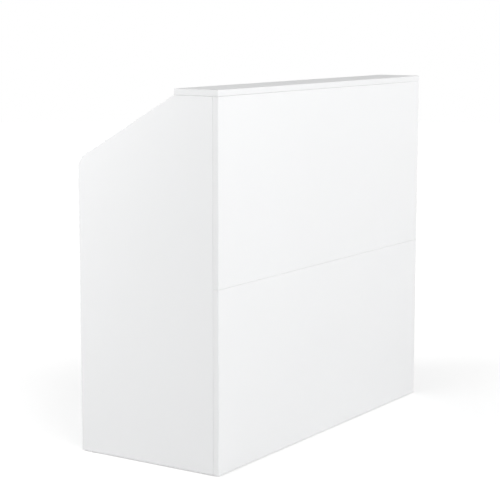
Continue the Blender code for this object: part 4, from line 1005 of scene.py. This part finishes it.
class COUNTER_OT_catch(Operator):
    """Adds the door's magnetic catch and the plate that it holds"""

    bl_idname = "counter.add_catch"
    bl_label = "Add Catch"

    def execute(self, context):
        self.add_housing(context.scene.counter_hardware.moulded_edge)
        self.add_keeper()
        return {"FINISHED"}

    def add_housing(self, edge):
        height, wall, recess, pole_rise = 0.012, 0.0022, 0.0012, 0.0006
        pole_half, pole_depth, pole_offset = 0.017, 0.004, 0.0026
        magnet_half, magnet_height, magnet_setback = 0.016, 0.0019, 0.0005
        low, high, middle = box_of("magnetic_catch")
        front = high.y
        top = flat_faces("drawer_shelf")[0].z - SEAT_GAP
        low.z = top - height
        middle_z = top - height / 2
        housing = block(low, (high.x, front - pole_rise, top))
        ease(housing, edge, 3, lambda e: min(v.co.z for v in e.verts) < top - TINY)
        face = max(housing.faces, key=lambda f: (f.normal.y > 0.99) * f.calc_area())
        bmesh.ops.inset_region(housing, faces=[face], thickness=wall, use_even_offset=True)
        push(housing, [face], (0, -recess, 0))
        if face.is_valid:
            bmesh.ops.delete(housing, geom=[face], context="FACES_ONLY")
        add_piece("catch_housing", housing, "carcass", "plastic", ["magnetic_catch"])

        def bar(half, setback, thick, z):
            first = (middle.x - half, front - pole_depth, z - thick)
            last = (middle.x + half, front - setback, z + thick)
            return ease(block(first, last), BURR)

        poles = bmesh.new()
        for sign in (-1, 1):
            pole = bar(pole_half, 0, pole_rise, middle_z + sign * pole_offset)
            gather(poles, pole, Matrix.Identity(4))
        seats = [(middle.x + sign * pole_half, (low.y + front) / 2, low.z) for sign in (-1, 1)]
        place_heads(poles, pan_head(), seats, -Z)
        add_piece("catch_poles", poles, "carcass", "zinc")
        magnet = bar(magnet_half, magnet_setback, magnet_height, middle_z)
        add_piece("catch_magnet", magnet, "carcass", "magnet")

    def add_keeper(self):
        steel, corner = 0.0012, 0.0025
        low, high, middle = box_of("catch_plate")
        back = flat_faces("cabinet_door")[0].y - SEAT_GAP
        plate = block((low.x, back - steel, low.z), (high.x, back, high.z))
        ease(plate, corner, 5, lambda e: abs(e.verts[0].co.y - e.verts[1].co.y) > steel / 2)
        ease(plate, BURR)
        countersink(plate, -Y, [(middle.x, back - steel, middle.z)])
        add_piece("catch_keeper", plate, "door", "zinc", ["catch_plate"])


def rolled_member(wall, lip_end, start, end, height, tall, holes):
    """A slide member rolled from sheet: a punched plate at the wall side, with a lip along each edge."""
    bend = bpy.context.scene.counter_hardware.sheet_bend
    half, hole_sides = tall / 2, 16
    section = ((lip_end, -half), (wall, -half), (wall, half), (lip_end, half))
    bm, verts = line_through([(x, start, height + z) for x, z in section])
    bevel(bm, verts[1:3], bend, 4)
    made = bmesh.ops.extrude_edge_only(bm, edges=list(bm.edges))
    bmesh.ops.translate(bm, vec=Y * (end - start), verts=added(made, BMVert))
    plate = max(bm.faces, key=lambda face: face.calc_area())
    rims = list(plate.edges)
    bmesh.ops.delete(bm, geom=[plate], context="FACES_ONLY")
    turn = Matrix.Rotation(QUARTER, 4, "Y") @ Matrix.Rotation(math.pi / hole_sides, 4, "Z")
    for y, radius, longer in holes:
        first = y - longer / 2
        place = Matrix.Translation((wall, first, height)) @ turn
        hole = bmesh.ops.create_circle(bm, segments=hole_sides, radius=radius, matrix=place)["verts"]
        rims += {edge for v in hole for edge in v.link_edges}
        bmesh.ops.translate(bm, vec=Y * longer, verts=[v for v in hole if v.co.y > first])
    bmesh.ops.triangle_fill(bm, edges=rims, use_beauty=True)
    bmesh.ops.recalc_face_normals(bm, faces=bm.faces)
    plate = max(bm.faces, key=lambda face: face.calc_area())
    if plate.normal.x * (lip_end - wall) > 0:
        bmesh.ops.reverse_faces(bm, faces=bm.faces)
    bmesh.ops.solidify(bm, geom=list(bm.faces), thickness=SLIDE_STEEL)
    return bm


def punched_holes(start, end, screws):
    """Round holes and slots in turn along a member, clear of its screws: place, radius and slot length."""
    margin, pitch, clear = 0.024, 0.032, 0.014
    hole, slot, slot_length = 0.0032, 0.0023, 0.0085
    holes = []
    for number in range(int((end - start) / pitch) - 1):
        y = start + margin + pitch * number
        if all(abs(y - screw) > clear for screw in screws):
            holes.append((y, hole, 0.0) if number % 2 else (y, slot, slot_length))
    return holes


def add_slides(prefix, body, middle_body, walls, tall, start, end, height, outer_seats):
    """The members of a pair of slides, from the wall to what slides, and their release levers."""
    play, lone_hole, lone_margin, screw_margin = 0.0004, 0.0032, 0.050, 0.035
    lever_plate, lever_setback = 0.0117, 0.020
    nested = 2 * (SLIDE_STEEL + play)
    inner_seats = (end - screw_margin, start + screw_margin)
    # Name, body, the plate's and the lips' distance from the wall, and the fasteners' places
    members = [("outer", "carcass", SEAT_GAP, 0.0112, outer_seats)]
    if middle_body:
        members.append(("middle", middle_body, 0.0039, 0.0112, ()))
    members.append(("inner", body, 0.0130, 0.0057, inner_seats))
    for side, wall, inward in walls:
        for number, (member, rides, plate, lip, screws) in enumerate(members):
            if screws:
                holes = punched_holes(start, end, screws)
            else:
                holes = [(start + lone_margin, lone_hole, 0), (end - lone_margin, lone_hole, 0)]
            plate_x, lip_x = wall + inward * plate, wall + inward * lip
            bm = rolled_member(plate_x, lip_x, start, end, height, tall - number * nested, holes)
            open_side = inward if lip > plate else -inward
            seats = [(plate_x + open_side * SLIDE_STEEL, y, height) for y in screws]
            head = pan_head() if middle_body or member == "inner" else rivet_head()
            place_heads(bm, head, seats, X * open_side)
            node = f"{prefix}_{member}_{side}"
            add_piece(f"{node}_rolled", bm, rides, "zinc", [node])
        lever = release_lever(wall + inward * lever_plate, -inward, max(inner_seats) - lever_setback, height)
        add_piece(f"{prefix}_lever_{side}", lever, body, "plastic")


def release_lever(plate, way, front, height):
    """A slide's moulded release lever: a slim arm with a ribbed thumb pad, flat on the inner member."""
    thick, edge, arm_bend, pad_bend, front_bend = 0.0022, 0.0004, 0.0012, 0.002, 0.003
    arm_end, arm_start, pad_end = -0.052, -0.020, -0.014
    pad_top, arm_top, arm_foot, pad_foot = 0.004, 0.0015, -0.004, -0.010
    ribs, rib_pitch, rib_first, rib_drop, rib_sink = 4, 0.0022, 0.0035, 0.003, 0.0001
    rib_rise, rib_half, rib_reach = 0.0006, 0.0004, 0.005
    outline = ((0, pad_foot), (0, pad_top), (pad_end, pad_top), (arm_start, arm_top), (arm_end, arm_top))
    outline += ((arm_end, arm_foot), (arm_start, arm_foot), (pad_end, pad_foot))
    points = [(plate, front + a, height + b) for a, b in outline]
    rounded = [(0, front_bend), (1, pad_bend), (3, pad_bend), (4, arm_bend), (5, arm_bend)]
    rounded += [(6, pad_bend), (7, pad_bend)]
    lever = swept(points, X * way * thick, rounded)
    ease(lever, edge, 2, lambda e: max((v.co.x - plate) * way for v in e.verts) > thick / 2)
    rib = ease(block((0, -rib_half, -rib_reach), (rib_rise, rib_half, rib_reach)), BURR)
    for number in range(ribs):
        y = front - rib_first - rib_pitch * number
        place = Matrix.Translation((plate + way * (thick - rib_sink), y, height - rib_drop))
        gather(lever, rib, place @ Matrix.Scale(way, 4, X))
    return lever


class COUNTER_OT_drawer_slides(Operator):
    """Adds the drawer's two slides of three members"""

    bl_idname = "counter.add_drawer_slides"
    bl_label = "Add Drawer Slides"

    def execute(self, context):
        tall, margin = 0.045, 0.070
        low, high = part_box("drawer_slide_middle_left")
        start, end = low.y, high.y
        height = (low.z + high.z) / 2
        walls = (
            ("left", flat_faces("pedestal_divider")[1].x, 1),
            ("right", flat_faces("right_side_panel")[0].x, -1),
        )
        seats = (end - margin, start + margin)
        add_slides("drawer_slide", "drawer", "slide_middles", walls, tall, start, end, height, seats)
        return {"FINISHED"}


class COUNTER_OT_tray_slides(Operator):
    """Adds the keyboard tray's slides and the steel hangers that carry them"""

    bl_idname = "counter.add_tray_slides"
    bl_label = "Add Tray Slides"

    def execute(self, context):
        tall, space = 0.035, 0.0133
        rivet_shares = (1 / 6, 5 / 6)
        tray_low, tray_high = flat_faces("keyboard_tray")
        start, end = tray_low.y, tray_high.y
        height = (tray_low.z + tray_high.z) / 2
        walls = (("left", tray_low.x - space, 1), ("right", tray_high.x + space, -1))
        hanger_low, hanger_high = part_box("tray_hanger_left")
        length = hanger_high.y - hanger_low.y
        rivets = [hanger_low.y + length * share for share in rivet_shares]
        add_slides("tray_slide", "tray", None, walls, tall, start, end, height, rivets)
        for side, wall, inward in walls:
            self.add_hanger(f"tray_hanger_{side}", wall, -inward, hanger_low, hanger_high, rivets, height)
        return {"FINISHED"}

    def add_hanger(self, node, wall, away, low, high, rivets, height):
        bend = bpy.context.scene.counter_hardware.sheet_bend
        steel, flange, corner = 0.0015, 0.026, 0.008
        outer_bend, inner_bend = bend + 0.0004, bend - 0.0012
        top = flat_faces("work_surface")[0].z - SEAT_GAP
        face, edge, under = wall + away * steel, wall + away * flange, top - steel
        outline = ((wall, low.z), (wall, top), (edge, top), (edge, under), (face, under), (face, low.z))
        points = [(x, low.y, z) for x, z in outline]
        hanger = swept(points, Y * (high.y - low.y), ((1, outer_bend), (4, inner_bend)))

        def at_corner(e):
            return e.calc_length() < steel * 1.1 and abs(e.verts[0].co.x - e.verts[1].co.x) > steel / 2

        ease(hanger, corner, 5, at_corner)
        seats = [(wall + away * (flange + steel) / 2, y, under) for y in rivets]
        place_heads(hanger, pan_head(), seats, -Z)
        place_heads(hanger, rivet_head(), [(face, y, height) for y in rivets], X * away)
        add_piece(f"{node}_bent", hanger, "carcass", "zinc", [node])


class COUNTER_OT_outlet(Operator):
    """Adds the cable outlet's liner and its notched cap"""

    bl_idname = "counter.add_outlet"
    bl_label = "Add Outlet"

    def execute(self, context):
        edge = context.scene.counter_hardware.moulded_edge
        bore, outer, flange, ledge_size = 0.028, 0.030, 0.035, 0.002
        burr, ledge_edge = 0.0004, 0.0003
        notch_half, notch_start = 0.011, 0.012
        low, high, middle = box_of("outlet_liner")
        cap_low, cap_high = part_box("outlet_cap")
        rim = flat_faces("work_surface")[1].z + SEAT_GAP
        ledge = cap_low.z - SEAT_GAP
        inner, under = bore - ledge_size, ledge - ledge_size
        profile = [(bore, low.z), (outer, low.z), (outer, rim), (flange, rim), (flange, high.z)]
        profile += [(bore, high.z), (bore, ledge), (inner, ledge), (inner, under), (bore, under)]
        rounded = ((4, 2 * edge), (5, burr), (1, burr), (7, ledge_edge))
        liner = turned([*profile, profile[0]], 64, rounded)
        placed(liner, Matrix.Translation((middle.x, middle.y, 0)))
        add_piece("outlet_ring", liner, "carcass", "plastic", ["outlet_liner"])
        cap = bmesh.new()
        bmesh.ops.create_circle(cap, cap_ends=True, segments=72, radius=bore - SEAT_GAP)
        self.cut_notch(cap, notch_half, notch_start)
        thick = cap_high.z - cap_low.z
        push(cap, list(cap.faces), (0, 0, thick))
        bmesh.ops.recalc_face_normals(cap, faces=cap.faces)
        ease(cap, edge, 3, lambda e: min(v.co.z for v in e.verts) > thick - TINY)
        placed(cap, Matrix.Translation((middle.x, middle.y, cap_low.z)))
        add_piece("outlet_lid", cap, "outlet_cover", "plastic", ["outlet_cap"])
        return {"FINISHED"}

    def cut_notch(self, cap, half, start):
        """Takes the cables' notch out of a flat disc."""
        for point, normal in (((half, 0, 0), X), ((-half, 0, 0), X), ((0, start, 0), Y)):
            whole = list(cap.verts) + list(cap.edges) + list(cap.faces)
            bmesh.ops.bisect_plane(cap, geom=whole, plane_co=point, plane_no=normal)
        middles = {face: face.calc_center_median() for face in cap.faces}
        notch = [face for face, middle in middles.items() if abs(middle.x) < half and middle.y > start]
        bmesh.ops.delete(cap, geom=notch, context="FACES")
        bmesh.ops.dissolve_faces(cap, faces=list(cap.faces))


class COUNTER_OT_shelf_pins(Operator):
    """Adds the collared pins that carry the adjustable shelf"""

    bl_idname = "counter.add_shelf_pins"
    bl_label = "Add Shelf Pins"

    def execute(self, context):
        radius, lead, lead_end, tip = 0.0025, 0.0004, 0.0010, 0.0006
        collar, collar_start, collar_end, collar_edge = 0.0040, 0.0091, 0.0098, 0.0002
        for side, inward in (("left", X), ("right", -X)):
            for end in ("front", "rear"):
                node = f"shelf_pin_{side}_{end}"
                low, high, middle = box_of(node)
                length = high.x - low.x
                profile = [(0, lead), (radius - lead, lead), (radius, lead_end), (radius, collar_start)]
                profile += [(collar, collar_start), (collar, collar_end), (radius, collar_end)]
                profile += [(radius, length), (0, length)]
                pin = turned(profile, 32, ((5, collar_edge), (7, tip)))
                start = low.x if inward.x > 0 else high.x
                placed(pin, stand((start, middle.y, middle.z), inward, Z))
                add_piece(f"{node}_collared", pin, "carcass", "zinc", [node])
        return {"FINISHED"}


class COUNTER_OT_glides(Operator):
    """Adds the nailed glides under the upright boards"""

    bl_idname = "counter.add_glides"
    bl_label = "Add Glides"

    def execute(self, context):
        thick, nail, foot, foot_edge, top_edge = 0.003, 0.001, 0.0050, 0.0011, 0.0003
        dimple = ((0, 0.0009), (0.0022, 0.0009), (0.0026, 0.0003), (foot, 0))
        for place in ("left", "middle", "right"):
            for end in ("front", "rear"):
                node = f"floor_glide_{place}_{end}"
                low, high, middle = box_of(node)
                radius = (high.x - low.x) / 2
                profile = [*dimple, (radius, 0), (radius, thick), (nail, thick), (nail, high.z), (0, high.z)]
                glide = turned(profile, 40, ((4, foot_edge), (5, top_edge)))
                placed(glide, Matrix.Translation((middle.x, middle.y, 0)))
                add_piece(f"{node}_moulded", glide, "carcass", "plastic", [node])
        return {"FINISHED"}


class COUNTER_OT_studio(Operator):
    """Lays the pale floor and sets the light and the camera"""

    bl_idname = "counter.set_studio"
    bl_label = "Set Studio"

    def execute(self, context):
        settings = context.scene.counter_studio
        front, side, staff = (0.0, -0.25, 0.6), (-0.6, 0.0, 0.6), (0.0, 0.2, 0.6)
        self.set_camera(context.scene, settings)
        self.lay_floor(context.scene, settings)
        self.set_sky(context.scene, settings)
        self.add_lamp("front_left_lamp", (-2.2, -3.2, 1.4), front, 3.5, settings.front_left_level)
        self.add_lamp("front_right_lamp", (2.0, -3.5, 1.6), front, 2.5, settings.front_right_level)
        self.add_lamp("left_lamp", (-2.0, 1.9, 1.6), side, 1.6, settings.left_level)
        self.add_lamp("staff_lamp", (0.8, 3.6, 1.5), staff, 2.5, settings.staff_level)
        context.scene.view_settings.view_transform = "Standard"
        return {"FINISHED"}

    def set_camera(self, scene, settings):
        camera = bpy.data.cameras.new("photograph_camera")
        camera.lens = settings.focal_length
        camera.sensor_width = 36.0
        camera.clip_end = 200.0
        made = bpy.data.objects.new("photograph_camera", camera)
        turn = Matrix.Rotation(settings.camera_azimuth, 4, "Z")
        tilt = Matrix.Rotation(QUARTER - settings.camera_elevation, 4, "X")
        roll = Matrix.Rotation(settings.camera_roll, 4, "Z")
        made.matrix_world = Matrix.Translation(settings.camera_place) @ turn @ tilt @ roll
        scene.collection.objects.link(made)
        scene.camera = made

    def lay_floor(self, scene, settings):
        near, far, near_glow, far_glow = 0.7, 3.2, 0.40, 0.80
        bm = bmesh.new()
        bmesh.ops.create_circle(bm, cap_ends=True, segments=96, radius=settings.floor_radius)
        mesh = bpy.data.meshes.new("pale_floor")
        bm.to_mesh(mesh)
        bm.free()
        floor = bpy.data.objects.new("pale_floor", mesh)
        scene.collection.objects.link(floor)
        floor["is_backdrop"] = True
        made = bpy.data.materials.new("pale_floor")
        made.use_nodes = True
        made.node_tree.nodes.clear()
        sockets = Socket(made.node_tree)
        matt = sockets.node("ShaderNodeBsdfDiffuse", {}, {"Color": PALE_GREY})
        place = sockets.node("ShaderNodeTexCoord", output="Object")
        away = place.node("ShaderNodeVectorMath", {"operation": "LENGTH"}, {0: place}, output="Value")
        reach = {"Value": away, "From Min": near, "From Max": far, "To Min": near_glow, "To Max": far_glow}
        lift = away.node("ShaderNodeMapRange", {"clamp": True}, reach)
        glow = sockets.node("ShaderNodeEmission", {}, {"Color": WHITE, "Strength": lift})
        lifted = sockets.node("ShaderNodeAddShader", {}, {0: matt, 1: glow})
        seen = sockets.node("ShaderNodeLightPath", output="Is Camera Ray")
        both = sockets.node("ShaderNodeMixShader", {}, {0: seen, 1: matt, 2: lifted})
        sockets.node("ShaderNodeOutputMaterial", {}, {"Surface": both})
        mesh.materials.append(made)

    def set_sky(self, scene, settings):
        world = bpy.data.worlds.new("studio_sky")
        world.use_nodes = True
        world.node_tree.nodes.clear()
        sockets = Socket(world.node_tree)
        rays = sockets.node("ShaderNodeLightPath", output="Is Camera Ray")
        plain = rays.maths("MAXIMUM", rays.beside("Is Glossy Ray"))
        plain = plain.maths("MAXIMUM", rays.beside("Is Transmission Ray"))
        sky, backdrop = (
            sockets.node("ShaderNodeBackground", {}, {"Color": WHITE, "Strength": strength})
            for strength in (settings.sky_level, 1.0)
        )
        both = sockets.node("ShaderNodeMixShader", {}, {0: plain, 1: sky, 2: backdrop})
        sockets.node("ShaderNodeOutputWorld", {}, {"Surface": both})
        scene.world = world

    def add_lamp(self, name, place, aim, size, power):
        lamp = bpy.data.lights.new(name, "AREA")
        lamp.shape = "DISK"
        lamp.size = size
        lamp.energy = power
        made = bpy.data.objects.new(name, lamp)
        made.location = place
        made.rotation_euler = (Vector(place) - Vector(aim)).to_track_quat("Z", "Y").to_euler()
        bpy.context.scene.collection.objects.link(made)


class COUNTER_PT_sidebar(Panel):
    """Lists the counter's settings and steps"""

    bl_label = "Reception Counter"
    bl_idname = "COUNTER_PT_sidebar"
    bl_space_type = "VIEW_3D"
    bl_region_type = "UI"
    bl_category = "Counter"

    def draw(self, context):
        for name in GROUPS:
            group = getattr(context.scene, name)
            part = self.layout.column(align=True)
            for setting in group.__annotations__:
                part.prop(group, setting)
        for step in STEPS:
            self.layout.operator(step.bl_idname)


GROUPS = {
    "counter_finishes": CounterFinishes,
    "counter_hardware": CounterHardware,
    "counter_studio": CounterStudio,
}
STEPS = (
    COUNTER_OT_studio,
    COUNTER_OT_boards,
    COUNTER_OT_cams,
    COUNTER_OT_handles,
    COUNTER_OT_lock,
    COUNTER_OT_key,
    COUNTER_OT_hinges,
    COUNTER_OT_catch,
    COUNTER_OT_drawer_slides,
    COUNTER_OT_tray_slides,
    COUNTER_OT_outlet,
    COUNTER_OT_shelf_pins,
    COUNTER_OT_glides,
)


def register():
    for group in (*GROUPS.values(), *STEPS, COUNTER_PT_sidebar):
        bpy.utils.register_class(group)
    for name, group in GROUPS.items():
        setattr(bpy.types.Scene, name, PointerProperty(type=group))


def unregister():
    for name in GROUPS:
        delattr(bpy.types.Scene, name)
    for group in reversed((*GROUPS.values(), *STEPS, COUNTER_PT_sidebar)):
        bpy.utils.unregister_class(group)


def main():
    register()
    for step in STEPS:
        family, action = step.bl_idname.split(".")
        getattr(getattr(bpy.ops, family), action)()
    sizes = {"cad": packed_size, "scene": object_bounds()}
    {name: [list(corner) for corner in box] for name, box in sizes.items()}


if __name__ == "__main__":
    main()
